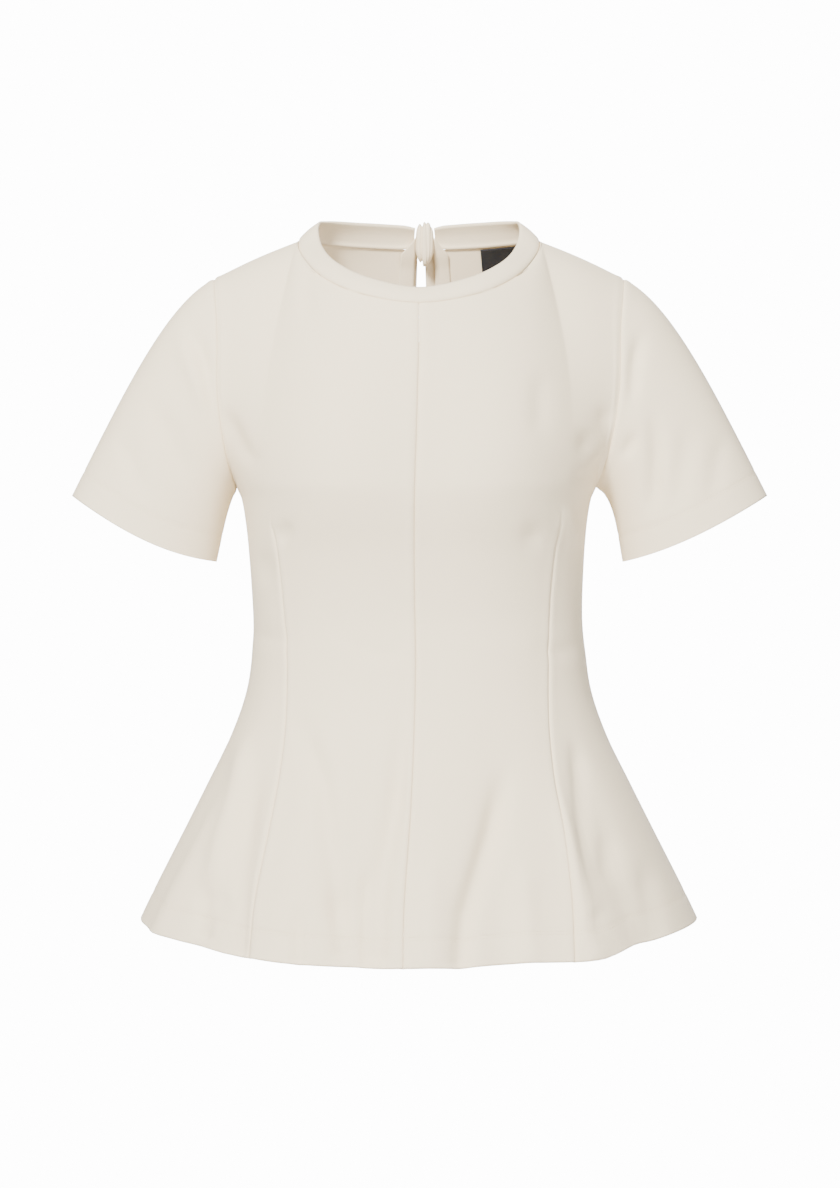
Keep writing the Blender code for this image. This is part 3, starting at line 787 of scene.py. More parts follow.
def sleeve_point(side: Side, around: float, along: float) -> Vector:
    """Point on the outside of a sleeve; around runs over the front from underarm to underarm.

    Args:
        side: left or right.
        around: grid column round the sleeve.
        along: grid row down the sleeve.

    Returns:
        The point.
    """
    share = around / YOKE_ROWS
    face = Face.FRONT if share <= 1 else Face.BACK
    angle = armhole_angle(share if share <= 1 else 2 - share)
    start = armhole(angle, face)
    end = CUFF_CENTRE + CUFF_LONG * cos(angle) + Vector((0, face.value * CUFF_DEEP * sin(angle), 0))
    down = Vector((CUFF_LONG.z, 0, -CUFF_LONG.x)).normalized()
    bow = LEFT_CUFF_BOW if side is Side.LEFT else RIGHT_CUFF_BOW
    end += down * bow * sin(angle) ** 2 * (1 - CUFF_BOW_SKEW * cos(angle))
    under = (1 - cos(angle)) / 2
    leave = SLEEVE_TOP_START.lerp(SLEEVE_UNDER_START, under**2).normalized()
    arrive = SLEEVE_TOP_END.lerp(SLEEVE_UNDER_END, under).normalized()
    reach = [a + (b - a) * under for a, b in zip(SLEEVE_TOP_REACH, SLEEVE_UNDER_REACH)]
    share = along / SLEEVE_ROWS
    point = hermite(start, leave * reach[0] * 3, end, arrive * reach[1] * 3, share)
    if side is Side.RIGHT:
        point.x += RIGHT_CUFF_OUT * share + RIGHT_UNDER_OUT * under * sin(pi * share**0.5)
    lean = read(SWAY, "away", start.z) * (1 - share)
    return Vector((side.value * point.x + lean, point.y, point.z))


def band_turn(column: float) -> float:
    """Signed turn of a neckband column, on the same places as the panels' columns.

    Args:
        column: grid column, from the centre back round the front.

    Returns:
        The turn in degrees, + on the right.
    """
    away = column - 2 * CENTRE_COLUMNS
    share = abs(away) / CENTRE_COLUMNS
    if share <= 1:
        turn = NECK_TURN * share
    else:
        turn = min(NECK_TURN + (HALF_TURN - NECK_TURN) * (share - 1), HALF_TURN - BAND_END_TURN)
    return turn if away >= 0 else -turn


def band_point(turn: float, share: float) -> Vector:
    """Point of the neckband at a signed turn from the centre front; share 0 at its seam, 1 at its edge.

    Args:
        turn: the turn in degrees, + on the right.
        share: share of the way up the band.

    Returns:
        The point.
    """
    side = 1 if turn >= 0 else -1
    seam, edge = neck_seam(abs(turn)), neck_edge(abs(turn))
    outward = Vector((seam.x, seam.y, 0)).normalized()
    middle = (seam + edge) / 2
    to_end = ease(*BAND_END_FADE, abs(turn))
    seam = seam.lerp(middle, to_end * BAND_END_NARROWING)
    edge = edge.lerp(middle, to_end * BAND_END_NARROWING)
    point = seam.lerp(edge, share) + outward * BAND_ROUND * sin(share * pi)
    shift_front = read(CENTRE_SHIFT, "away", point.z) * ease(*BAND_FRONT_FADE, abs(turn))
    shift_back = KEYHOLE_CENTRE * ease(*BAND_BACK_FADE, abs(turn))
    return Vector((side * point.x + shift_front + shift_back, point.y, point.z))


def row_at_height(face: Face, side: Side, column: float, height: float) -> float:
    """Grid row at which a body panel's column reaches a height.

    Args:
        face: front or back.
        side: left or right.
        column: grid column.
        height: the height.

    Returns:
        The row, which may lie between two.
    """
    low, high = 0.0, float(TOP_ROW)
    for _ in range(ROW_TRIES):
        middle = (low + high) / 2
        if body_point(face, side, column, middle).z < height:
            low = middle
        else:
            high = middle
    return low


@dataclass(frozen=True)
class Fold:
    """A soft crease: its line in the view in mm, half width and height in mm, + out."""

    line: tuple[tuple[float, float], ...]
    width: float
    height: float
    to_edge: bool = False

    def relief(self, across: float, up: float) -> float:
        """Height of the crease at a place of the view.

        Args:
            across: distance from the middle of the view in mm.
            up: height in the view in mm.

        Returns:
            The height in metres, + out of the cloth.
        """
        reach = FOLD_REACH * self.width
        for place, values in zip((across, up), zip(*self.line)):
            if not min(values) - reach < place < max(values) + reach:
                return 0.0
        away, share = self.nearest(across, up)
        return METRES_PER_MM * self.height * self.fade(share) * exp(-((away / self.width) ** 2))

    def nearest(self, across: float, up: float) -> tuple[float, float]:
        """Nearest place on the crease's line.

        Args:
            across: distance from the middle of the view in mm.
            up: height in the view in mm.

        Returns:
            Its distance in mm, and how far along the line it lies, from 0 to 1.
        """
        best, best_share = inf, 0.0
        last = max(len(self.line) - 1, 1)
        for n, (start, end) in enumerate(zip(self.line, self.line[1:] or self.line)):
            run = (end[0] - start[0], end[1] - start[1])
            long = run[0] ** 2 + run[1] ** 2
            t = ((across - start[0]) * run[0] + (up - start[1]) * run[1]) / long if long else 0.0
            t = min(max(t, 0.0), 1.0)
            away = hypot(across - start[0] - t * run[0], up - start[1] - t * run[1])
            if away < best:
                best, best_share = away, (n + t) / last
        return best, best_share

    def fade(self, share: float) -> float:
        """How much of the crease is left at a place along its line.

        Args:
            share: how far along the line the place lies, from 0 to 1.

        Returns:
            The share of its height; a spot, and the end of a crease that runs out at an edge, keep it all.
        """
        if len(self.line) == 1:
            return 1.0
        left = ease(*FOLD_START_FADE, share)
        return left if self.to_edge else left * ease(*FOLD_END_FADE, share)


FRONT_FOLDS = (
    Fold(((-148.8, -412.8), (-154.8, -464.4), (-172.0, -521.2), (-180.6, -576.2)), 8, 2.4),
    Fold(((-139.3, -445.5), (-147.9, -507.4), (-153.1, -548.7), (-154.8, -608.9)), 8, -2.4, True),
    Fold(
        ((-103.2, -406.8), (-92.0, -439.5), (-82.6, -467.0), (-74.0, -534.9), (-65.4, -608.9)),
        9,
        -2.0,
        True,
    ),
    Fold(((-67.1, -572.8),), 14, -1.6),
    Fold(((-45.6, -540.1), (-47.3, -562.4), (-47.3, -619.2)), 4, -2.2, True),
    Fold(
        ((-8.6, -385.3), (-17.2, -461.8), (-24.9, -507.4), (-33.5, -548.7), (-37.0, -613.2)),
        10,
        -3.0,
        True,
    ),
    Fold(((-183.2, -548.7), (-184.9, -596.0)), 5, -1.6, True),
    Fold(((-167.7, -553.0), (-169.4, -607.2)), 5, -1.4, True),
    Fold(((-104.1, -570.2), (-104.1, -617.5)), 5, -1.5, True),
    Fold(
        ((79.1, -448.1), (67.9, -480.7), (62.8, -507.4), (51.6, -543.5), (40.4, -578.8), (37.0, -617.5)),
        9,
        -3.2,
        True,
    ),
    Fold(((119.5, -467.0), (130.7, -521.2), (144.5, -581.4), (152.2, -613.2)), 7, 2.0, True),
    Fold(((131.6, -428.3), (135.9, -445.5), (140.2, -494.5), (145.3, -529.8), (148.8, -565.9)), 6, -2.0),
    Fold(((160.8, -505.7), (160.8, -557.3)), 8, -1.4),
    Fold(((152.2, -570.2), (153.9, -589.1), (159.1, -615.8)), 3.5, -2.4, True),
    Fold(((9.5, -531.5), (7.7, -617.5)), 12, 1.4, True),
    Fold(((191.8, -531.5), (203.0, -596.0)), 9, -1.6, True),
    Fold(((88.6, -531.5), (95.5, -613.2)), 10, 1.4, True),
    Fold(((-96.3, -6.9), (-96.3, -80.0)), 8, -0.8),
    Fold(((104.1, -110.1), (104.1, -170.3)), 9, -1.0),
    Fold(((160.0, -151.4),), 8, -1.2),
    Fold(((143.6, -161.7), (143.6, -185.8)), 8, -1.3),
    Fold(((-122.1, -244.2), (-110.9, -257.1)), 8, -1.4),
    Fold(((-132.4, -264.9), (-132.4, -295.8)), 7, -1.2),
    Fold(((98.0, -252.8),), 9, -1.2),
    Fold(((124.7, -226.2), (136.7, -264.9)), 6, 1.0),
    Fold(((-169.4, -142.8), (-160.8, -160.0), (-153.1, -177.2), (-135.0, -194.4)), 7, -1.6),
    Fold(((166.0, -178.9), (148.8, -201.2), (131.6, -209.8)), 7, -1.2),
    Fold(((-145.3, -333.7), (-126.4, -342.3), (-102.3, -337.1)), 6, -0.7),
    Fold(((142.8, -342.3), (121.3, -352.6), (95.5, -347.4)), 6, -0.7),
    Fold(((-67.9, -342.3), (-33.5, -355.2), (-7.7, -350.9)), 7, -0.5),
)

BACK_FOLDS = (
    Fold(((-157.4, -419.7), (-164.3, -471.3), (-176.3, -522.9), (-188.3, -578.8)), 9, 2.2),
    Fold(((-145.3, -436.9), (-153.9, -507.4), (-160.8, -548.7), (-163.4, -613.2)), 8, -2.3, True),
    Fold(((-93.7, -415.4), (-86.9, -454.1), (-78.3, -534.9), (-72.2, -613.2)), 9, -2.2, True),
    Fold(((-40.4, -411.1), (-45.6, -479.9), (-50.7, -548.7), (-54.2, -617.5)), 9, -2.4, True),
    Fold(((-18.1, -565.9), (-16.3, -617.5)), 5, -1.6, True),
    Fold(((28.4, -424.0), (37.0, -479.9), (43.9, -548.7), (47.3, -617.5)), 9, -2.6, True),
    Fold(((86.9, -432.6), (83.4, -497.1), (86.9, -557.3), (90.3, -615.8)), 8, 1.8, True),
    Fold(((121.3, -454.1), (126.4, -514.3), (133.3, -574.5), (138.5, -613.2)), 7, -2.0, True),
    Fold(((171.1, -479.9), (181.5, -540.1), (190.1, -591.7)), 8, -1.8, True),
    Fold(((-112.7, -246.0),), 9, -1.3),
    Fold(((114.4, -246.0),), 9, -1.3),
    Fold(((-135.0, -342.3), (-102.3, -350.9), (-67.9, -347.4)), 7, -0.9),
    Fold(((43.9, -350.9), (86.9, -357.8), (129.9, -345.7)), 7, -0.9),
    Fold(((-166.0, -153.1), (-148.8, -180.6), (-128.1, -196.1)), 7, -1.5),
    Fold(((167.7, -156.5), (152.2, -184.0), (133.3, -199.5)), 7, -1.5),
    Fold(((-76.5, -75.7), (-59.3, -118.7)), 10, -0.8),
    Fold(((69.7, -75.7), (57.6, -122.1)), 10, -0.8),
)

SLEEVE_FOLDS = (
    Fold(((-199.5, -65.4), (-184.9, -99.8), (-176.3, -118.7), (-172.9, -143.6), (-166.0, -166.8)), 6.5, -2.4),
    Fold(((-209.0, -75.7), (-196.9, -104.9), (-188.3, -129.0), (-184.0, -153.1)), 7, 1.4),
    Fold(((-231.3, -135.9), (-212.4, -170.3), (-198.7, -209.8)), 9, -1.1),
    Fold(((-258.9, -161.7), (-245.1, -194.4), (-234.8, -226.2)), 8, -0.9),
    Fold(((191.8, -75.7), (183.2, -108.4), (181.5, -142.8)), 6.5, -2.4),
    Fold(((200.4, -142.8), (204.7, -178.9), (203.0, -211.6), (200.4, -237.4)), 7, -2.0),
    Fold(((186.6, -165.1), (174.6, -185.8)), 6, -1.5),
    Fold(((233.1, -153.1), (226.2, -196.1), (217.6, -239.1)), 9, -1.0),
    Fold(((262.3, -161.7), (255.4, -196.1), (252.0, -228.8)), 8, -0.8),
)


class KnotLine(NamedTuple):
    """A sunk line of the knot: its place, lean and width as shares of the half width, and its depth."""

    at: float
    lean: float
    width: float
    depth: float

    def sunk(self, across: float, up: float) -> float:
        """How deep the knot is sunk at a place.

        Args:
            across: place across, as a share of the half width.
            up: place up, as a share of the half height.

        Returns:
            The depth.
        """
        return self.depth * exp(-(((across - self.at - self.lean * up) / self.width) ** 2))


KNOT_LINES = (
    KnotLine(-0.42, 0.10, 0.14, 0.0017),
    KnotLine(0.30, -0.12, 0.10, 0.0007),
    KnotLine(0.68, 0.05, 0.10, 0.0005),
)


class Lamp(NamedTuple):
    """A soft lamp: its place, its size in metres, its watts and its colour."""

    name: str
    place: tuple[float, float, float]
    size: float
    watts: float
    colour: tuple[float, float, float]


LAMPS = (
    Lamp("key", (-1.2, -2.7, 2.1), 0.8, 430.0, (1.0, 0.995, 0.98)),
    Lamp("fill", (1.6, -3.0, 0.3), 2.0, 90.0, (1.0, 0.985, 0.97)),
    Lamp("back", (0.5, 2.9, 1.4), 1.6, 160.0, (1.0, 1.0, 1.0)),
)


class Grid:
    """A piece of cloth on a fine grid, from the part's form, with its relief, seams and wall."""

    def __init__(
        self,
        name: str,
        columns: list[float],
        rows: list[float],
        surface: Callable[[float, float], Vector],
        closed: bool = False,
    ) -> None:
        """Lay the grid on the form.

        Args:
            name: the piece's name.
            columns: places across, in the part's columns.
            rows: places up, in the part's rows.
            surface: the part's form.
            closed: whether the last column meets the first.
        """
        self.name, self.columns, self.rows, self.closed = name, columns, rows, closed
        self.bm = bmesh.new()
        wide, high = len(columns) - 1, len(rows) - 1
        bmesh.ops.create_grid(self.bm, x_segments=wide, y_segments=high, size=0.5)
        self.run = self.bm.verts.layers.float_vector.new("run")
        self.wall = self.bm.verts.layers.float.new("wall")
        self.at: dict[tuple[int, int], bmesh.types.BMVert] = {}
        for vert in self.bm.verts:
            place = (round((vert.co.x + 0.5) * wide), round((vert.co.y + 0.5) * high))
            self.at[place] = vert
            vert.co = surface(columns[place[0]], rows[place[1]])
        self.across = self.measure(1, 0)
        self.up = self.measure(0, 1)
        self.lay_cloth_map()
        if closed:
            targets = {self.at[(wide, row)]: self.at[(0, row)] for row in range(high + 1)}
            bmesh.ops.weld_verts(self.bm, targetmap=targets)
            for row in range(high + 1):
                self.at[(wide, row)] = self.at[(0, row)]
        self.bm.normal_update()

    def measure(self, step_across: int, step_up: int) -> dict[tuple[int, int], float]:
        """Length along the cloth from the first column or row.

        Args:
            step_across: 1 to measure across, or 0.
            step_up: 1 to measure up, or 0.

        Returns:
            The length in metres at each grid place.
        """
        lengths = {}
        for row in range(len(self.rows)):
            for column in range(len(self.columns)):
                here, before = (column, row), (column - step_across, row - step_up)
                lengths[here] = 0.0
                if before in self.at:
                    lengths[here] = lengths[before] + (self.at[here].co - self.at[before].co).length
        return lengths

    def lay_cloth_map(self) -> None:
        """Map the cloth flat, in metres, for the knit's wales and courses."""
        layer = self.bm.loops.layers.uv.new("cloth")
        places = {vert: place for place, vert in self.at.items()}
        for face in self.bm.faces:
            for loop in face.loops:
                place = places[loop.vert]
                loop[layer].uv = (self.across[place], self.up[place])

    def ease_yoke(self, from_row: float, times: int) -> None:
        """Ease the cloth above a row, so that no bend runs down from the neck point.

        Args:
            from_row: the part's row above which the cloth is eased.
            times: how often it is eased.
        """
        wide, high = len(self.columns) - 1, len(self.rows) - 1
        free = [
            vert
            for (column, row), vert in self.at.items()
            if self.rows[row] > from_row and 0 < column < wide and row < high
        ]
        for _ in range(times):
            bmesh.ops.smooth_vert(
                self.bm, verts=free, factor=0.5, use_axis_x=True, use_axis_y=True, use_axis_z=True
            )
        self.bm.normal_update()

    def face_outward(self, middle: Vector) -> None:
        """Turn the faces away from a point inside the hollow.

        Args:
            middle: the point.
        """
        lean = sum(f.normal.dot(f.calc_center_median() - middle) * f.calc_area() for f in self.bm.faces)
        if lean < 0:
            bmesh.ops.reverse_faces(self.bm, faces=self.bm.faces)
            self.bm.normal_update()

    def seam_relief(self, place: tuple[int, int], seam: int) -> float:
        """Sunk line and pressed turning beside a seam that runs up a column.

        Args:
            place: the grid place.
            seam: the seam's column.

        Returns:
            The height in metres, + out of the cloth.
        """
        return seam_profile(abs(self.across[place] - self.across[(seam, place[1])]))

    def raise_by(self, relief: Callable[[tuple[int, int], Vector], float]) -> None:
        """Move every corner along its shared normal by a relief.

        Args:
            relief: the height at a grid place and its point.
        """
        moves = {place: vert[self.run] * relief(place, vert.co) for place, vert in self.at.items()}
        done = set()
        for place, vert in self.at.items():
            if vert not in done:
                vert.co += moves[place]
                done.add(vert)
        self.bm.normal_update()

    def draw_in(self, seams: tuple[bool, bool, bool, bool], distance: float = CLOSE_SEAM) -> None:
        """Draw seamed edges in, so that pieces sewn together keep a hair's gap.

        Args:
            seams: whether the first and last column and the first and last row are seamed.
            distance: how far an edge is drawn in.
        """
        wide, high = len(self.columns) - 1, len(self.rows) - 1
        moves = {}
        for (column, row), vert in self.at.items():
            move = Vector()
            steps = (
                (seams[0] and column == 0, 1, 0),
                (seams[1] and column == wide, -1, 0),
                (seams[2] and row == 0, 0, 1),
                (seams[3] and row == high, 0, -1),
            )
            for on_edge, across, up in steps:
                if on_edge:
                    inner = self.at[(column + across, row + up)].co - vert.co
                    move += inner.normalized() * distance
            moves[vert] = move
        for vert, move in moves.items():
            vert.co += move

    def cut(self, column: int, last_row: int) -> None:
        """Open a dart's line along a column from the hem to its tip.

        Args:
            column: the grid column.
            last_row: the row of its tip.
        """
        line = {self.at[(column, row)] for row in range(last_row + 1)}
        spots = {tuple(self.at[(column, row)].co) for row in range(last_row + 1)}
        tip = self.at[(column, last_row)].co.copy()
        edges = [e for e in self.bm.edges if e.verts[0] in line and e.verts[1] in line]
        bmesh.ops.split_edges(self.bm, edges=edges)
        on_cut = {v for v in self.bm.verts if tuple(v.co) in spots}
        moves = {}
        for vert in on_cut:
            mates = [e.other_vert(vert) for e in vert.link_edges if e.other_vert(vert) not in on_cut]
            if (vert.co - tip).length > MEETING_GRID and mates:
                moves[vert] = (mates[0].co - vert.co).normalized() * CLOSE_SEAM
        for vert, move in moves.items():
            vert.co += move

    def edge_run(self, place: tuple[int, int]) -> Vector:
        """Direction in which the cloth runs out at an edge place.

        Args:
            place: the grid place, in the first or last row or column.

        Returns:
            The direction, of length 1.
        """
        column, row = place
        if row in (0, len(self.rows) - 1):
            inner = (column, 1 if row == 0 else row - 1)
        else:
            inner = (1 if column == 0 else column - 1, row)
        return (self.at[place].co - self.at[inner].co).normalized()

    def thicken(self, rounded: Callable[[int, int], bool]) -> None:
        """Give the cloth its wall towards the inside and round its free edges.

        Args:
            rounded: whether the edge at a grid place is a folded, round one.
        """
        runs = {vert: self.edge_run(place) for place, vert in self.at.items() if rounded(*place)}
        made = bmesh.ops.extrude_face_region(self.bm, geom=self.bm.faces[:], use_keep_orig=True)
        inner = {g for g in made["geom"] if isinstance(g, bmesh.types.BMVert)}
        for vert in inner:
            vert.co -= vert[self.run] * vert[self.wall]
        links = [e for v in runs for e in v.link_edges if e.other_vert(v) in inner]
        if links:
            split = bmesh.ops.subdivide_edges(self.bm, edges=links, cuts=1)
            for vert in {g for g in split["geom_inner"] if isinstance(g, bmesh.types.BMVert)}:
                tops = [e.other_vert(vert) for e in vert.link_edges if e.other_vert(vert) in runs]
                if tops:
                    vert.co += runs[tops[0]] * (tops[0].co - vert.co).length * EDGE_ROUND
        bmesh.ops.recalc_face_normals(self.bm, faces=self.bm.faces)

    def make(self, material: bpy.types.Material) -> bpy.types.Object:
        """Turn the grid into a finished object.

        Args:
            material: its finish.

        Returns:
            The object.
        """
        return make_object(self.bm, self.name, material)


def seam_profile(away: float) -> float:
    """Height of the cloth beside a seam: a sunk line, then the pressed turning under it.

    Args:
        away: distance from the seam.

    Returns:
        The height, + out of the cloth.
    """
    sunk = SEAM_DEPTH * exp(-((away / SEAM_WIDTH) ** 2))
    pressed = SEAM_RIDGE * exp(-(((away - SEAM_RIDGE_AT) / SEAM_RIDGE_WIDTH) ** 2))
    return pressed - sunk


def stitch_profile(away: float, lines: tuple[float, ...]) -> float:
    """Depth to which rows of stitches pull the cloth in, at a distance from its edge.

    Args:
        away: the distance.
        lines: distances of the rows of stitches from the edge.

    Returns:
        The height, - into the cloth.
    """
    return -GROOVE_DEPTH * sum(exp(-(((away - line) / GROOVE_WIDTH) ** 2)) for line in lines)


def in_view(point: Vector) -> tuple[float, float]:
    """Place of a point in the straight front view, in mm, measured at the garment's middle.

    Args:
        point: the point.

    Returns:
        Distance from the middle of the view, and height.
    """
    share = EYE.y / (EYE.y - point.y)
    across, up = EYE.x + (point.x - EYE.x) * share, EYE.z + (point.z - EYE.z) * share
    return MM_PER_METRE * across, MM_PER_METRE * up


def fold_relief(folds: tuple[Fold, ...], point: Vector) -> float:
    """Height of all the listed creases at a point.

    Args:
        folds: the creases.
        point: the point.

    Returns:
        The height in metres, + out of the cloth.
    """
    across, up = in_view(point)
    return FOLD_STRENGTH * sum(fold.relief(across, up) for fold in folds)


def spread(last: int, seams: tuple[int, ...], first_fine: int = 0) -> list[float]:
    """Grid places from 0 to last: even steps, closer beside seams and over the first ones.

    Args:
        last: the part's last column or row.
        seams: columns or rows that are seams.
        first_fine: how many of the part's first rows get FINE times as many steps.

    Returns:
        The places in order.
    """
    places = {round(n / FINE, PLACE_DIGITS) for n in range(last * FINE + 1)}
    closer = FINE * FINE
    places |= {round(n / closer, PLACE_DIGITS) for n in range(first_fine * closer + 1)}
    for seam in seams:
        for step in SEAM_STEPS:
            places |= {round(p, PLACE_DIGITS) for p in (seam - step, seam + step) if 0 < p < last}
    return sorted(places)


def share_runs(grids: list[Grid]) -> None:
    """Give corners where pieces meet one normal, so that their walls end side by side.

    Args:
        grids: the pieces that meet.
    """
    meeting = {}
    for grid in grids:
        for place, vert in grid.at.items():
            key = tuple(round(value / MEETING_GRID) for value in vert.co)
            meeting.setdefault(key, []).append(vert.normal.copy())
    for grid in grids:
        normals = {place: vert.normal.copy() for place, vert in grid.at.items()}
        for place, vert in grid.at.items():
            key = tuple(round(value / MEETING_GRID) for value in vert.co)
            near = [n for n in meeting[key] if n.dot(normals[place]) > MEETING_SMOOTH]
            vert[grid.run] = sum(near, Vector()).normalized()


def even(steps: int) -> list[float]:
    """Even places from 0 to 1.

    Args:
        steps: how many steps there are.

    Returns:
        The places in order.
    """
    return [n / steps for n in range(steps + 1)]


def map_from_front(bm: bmesh.types.BMesh) -> None:
    """Map a small piece flat as seen from the front, in metres.

    Args:
        bm: the mesh.
    """
    layer = bm.loops.layers.uv.new("cloth")
    for face in bm.faces:
        for loop in face.loops:
            loop[layer].uv = (loop.vert.co.x, loop.vert.co.z)


def lay_trim(
    name: str,
    steps: tuple[int, int],
    surface: Callable[[float, float], Vector],
    wall: float,
    rounded: Callable[[int, int], bool],
) -> Grid:
    """Lay a small piece of cloth on its form and thicken it.

    Args:
        name: the piece's name.
        steps: how many steps its grid has across and up.
        surface: its form, across and up from 0 to 1.
        wall: its thickness.
        rounded: whether the edge at a grid place is a folded, round one.

    Returns:
        The thickened grid.
    """
    grid = Grid(name, even(steps[0]), even(steps[1]), surface)
    grid.face_outward(BODY_MIDDLE)
    share_runs([grid])
    for vert in grid.bm.verts:
        vert[grid.wall] = wall
    grid.thicken(rounded)
    return grid


def make_object(bm: bmesh.types.BMesh, name: str, material: bpy.types.Material) -> bpy.types.Object:
    """Make a smooth object of a mesh and let it ride on the part.

    Args:
        bm: the mesh, which is used up.
        name: the piece's name.
        material: its finish.

    Returns:
        The object.
    """
    mesh = bpy.data.meshes.new(name)
    bm.to_mesh(mesh)
    bm.free()
    mesh.materials.append(material)
    mesh.shade_smooth()
    obj = bpy.data.objects.new(name, mesh)
    bpy.context.scene.collection.objects.link(obj)
    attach(obj, "root")
    return obj


@dataclass(frozen=True)
class Jersey:
    """Smooth heavy jersey: its colours, shine, the size of its knit and its faint clouds."""

    light: tuple[float, float, float, float] = (0.850, 0.725, 0.520, 1.0)
    deep: tuple[float, float, float, float] = (0.820, 0.692, 0.490, 1.0)
    roughness: float = 0.88
    shine: float = 0.25
    sheen: float = 0.08
    sheen_roughness: float = 0.5
    wale: float = 0.0009
    course: float = 0.0007
    course_share: float = 0.5
    knit_depth: float = 0.00015
    cloud_scale: float = 9.0
    cloud_detail: float = 4.0

    def knit_group(self) -> bpy.types.NodeTree:
        """Node group that gives the knit's height and the cloth's faint unevenness.

        Returns:
            The node group.
        """
        tree = bpy.data.node_groups.new("jersey_knit", "ShaderNodeTree")
        tree.interface.new_socket("Cloth", in_out="INPUT", socket_type="NodeSocketVector")
        tree.interface.new_socket("Place", in_out="INPUT", socket_type="NodeSocketVector")
        tree.interface.new_socket("Height", in_out="OUTPUT", socket_type="NodeSocketFloat")
        tree.interface.new_socket("Uneven", in_out="OUTPUT", socket_type="NodeSocketFloat")
        given = tree.nodes.new("NodeGroupInput")
        out = tree.nodes.new("NodeGroupOutput")
        split = tree.nodes.new("ShaderNodeSeparateXYZ")
        tree.links.new(given.outputs["Cloth"], split.inputs[0])
        rib = self.wave(tree, split.outputs["X"], 2 * pi / self.wale)
        loop = self.wave(tree, split.outputs["Y"], 2 * pi / self.course)
        both = tree.nodes.new("ShaderNodeMath")
        both.operation = "MULTIPLY_ADD"
        both.inputs[1].default_value = self.course_share
        tree.links.new(loop.outputs[0], both.inputs[0])
        tree.links.new(rib.outputs[0], both.inputs[2])
        cloud = tree.nodes.new("ShaderNodeTexNoise")
        cloud.inputs["Scale"].default_value = self.cloud_scale
        cloud.inputs["Detail"].default_value = self.cloud_detail
        tree.links.new(given.outputs["Place"], cloud.inputs["Vector"])
        tree.links.new(both.outputs[0], out.inputs["Height"])
        tree.links.new(cloud.outputs["Fac"], out.inputs["Uneven"])
        return tree

    @staticmethod
    def wave(tree: bpy.types.NodeTree, source: bpy.types.NodeSocket, turns: float) -> bpy.types.Node:
        """A sine of a length.

        Args:
            tree: the node group.
            source: the length.
            turns: radians for each metre.

        Returns:
            The last node.
        """
        scale = tree.nodes.new("ShaderNodeMath")
        scale.operation = "MULTIPLY"
        scale.inputs[1].default_value = turns
        sine = tree.nodes.new("ShaderNodeMath")
        sine.operation = "SINE"
        tree.links.new(source, scale.inputs[0])
        tree.links.new(scale.outputs[0], sine.inputs[0])
        return sine

    def make(self, name: str, bump: float = 0.12) -> bpy.types.Material:
        """Make the material.

        Args:
            name: the material's name.
            bump: how strongly the knit shows.

        Returns:
            The material.
        """
        material = bpy.data.materials.new(name)
        material.use_nodes = True
        tree = material.node_tree
        shader = tree.nodes["Principled BSDF"]
        shader.inputs["Roughness"].default_value = self.roughness
        shader.inputs["Specular IOR Level"].default_value = self.shine
        shader.inputs["Sheen Weight"].default_value = self.sheen
        shader.inputs["Sheen Roughness"].default_value = self.sheen_roughness
        where = tree.nodes.new("ShaderNodeTexCoord")
        knit = tree.nodes.new("ShaderNodeGroup")
        knit.node_tree = self.knit_group()
        tree.links.new(where.outputs["UV"], knit.inputs["Cloth"])
        tree.links.new(where.outputs["Object"], knit.inputs["Place"])
        mix = tree.nodes.new("ShaderNodeMix")
        mix.data_type = "RGBA"
        mix.inputs["A"].default_value = self.light
        mix.inputs["B"].default_value = self.deep
        tree.links.new(knit.outputs["Uneven"], mix.inputs["Factor"])
        tree.links.new(mix.outputs["Result"], shader.inputs["Base Color"])
        relief = tree.nodes.new("ShaderNodeBump")
        relief.inputs["Strength"].default_value = bump
        relief.inputs["Distance"].default_value = self.knit_depth
        tree.links.new(knit.outputs["Height"], relief.inputs["Height"])
        tree.links.new(relief.outputs["Normal"], shader.inputs["Normal"])
        return material


class Kind(Enum):
    """Kinds of cloth piece: jersey and label."""

    JERSEY = "jersey"
    LABEL = "label"


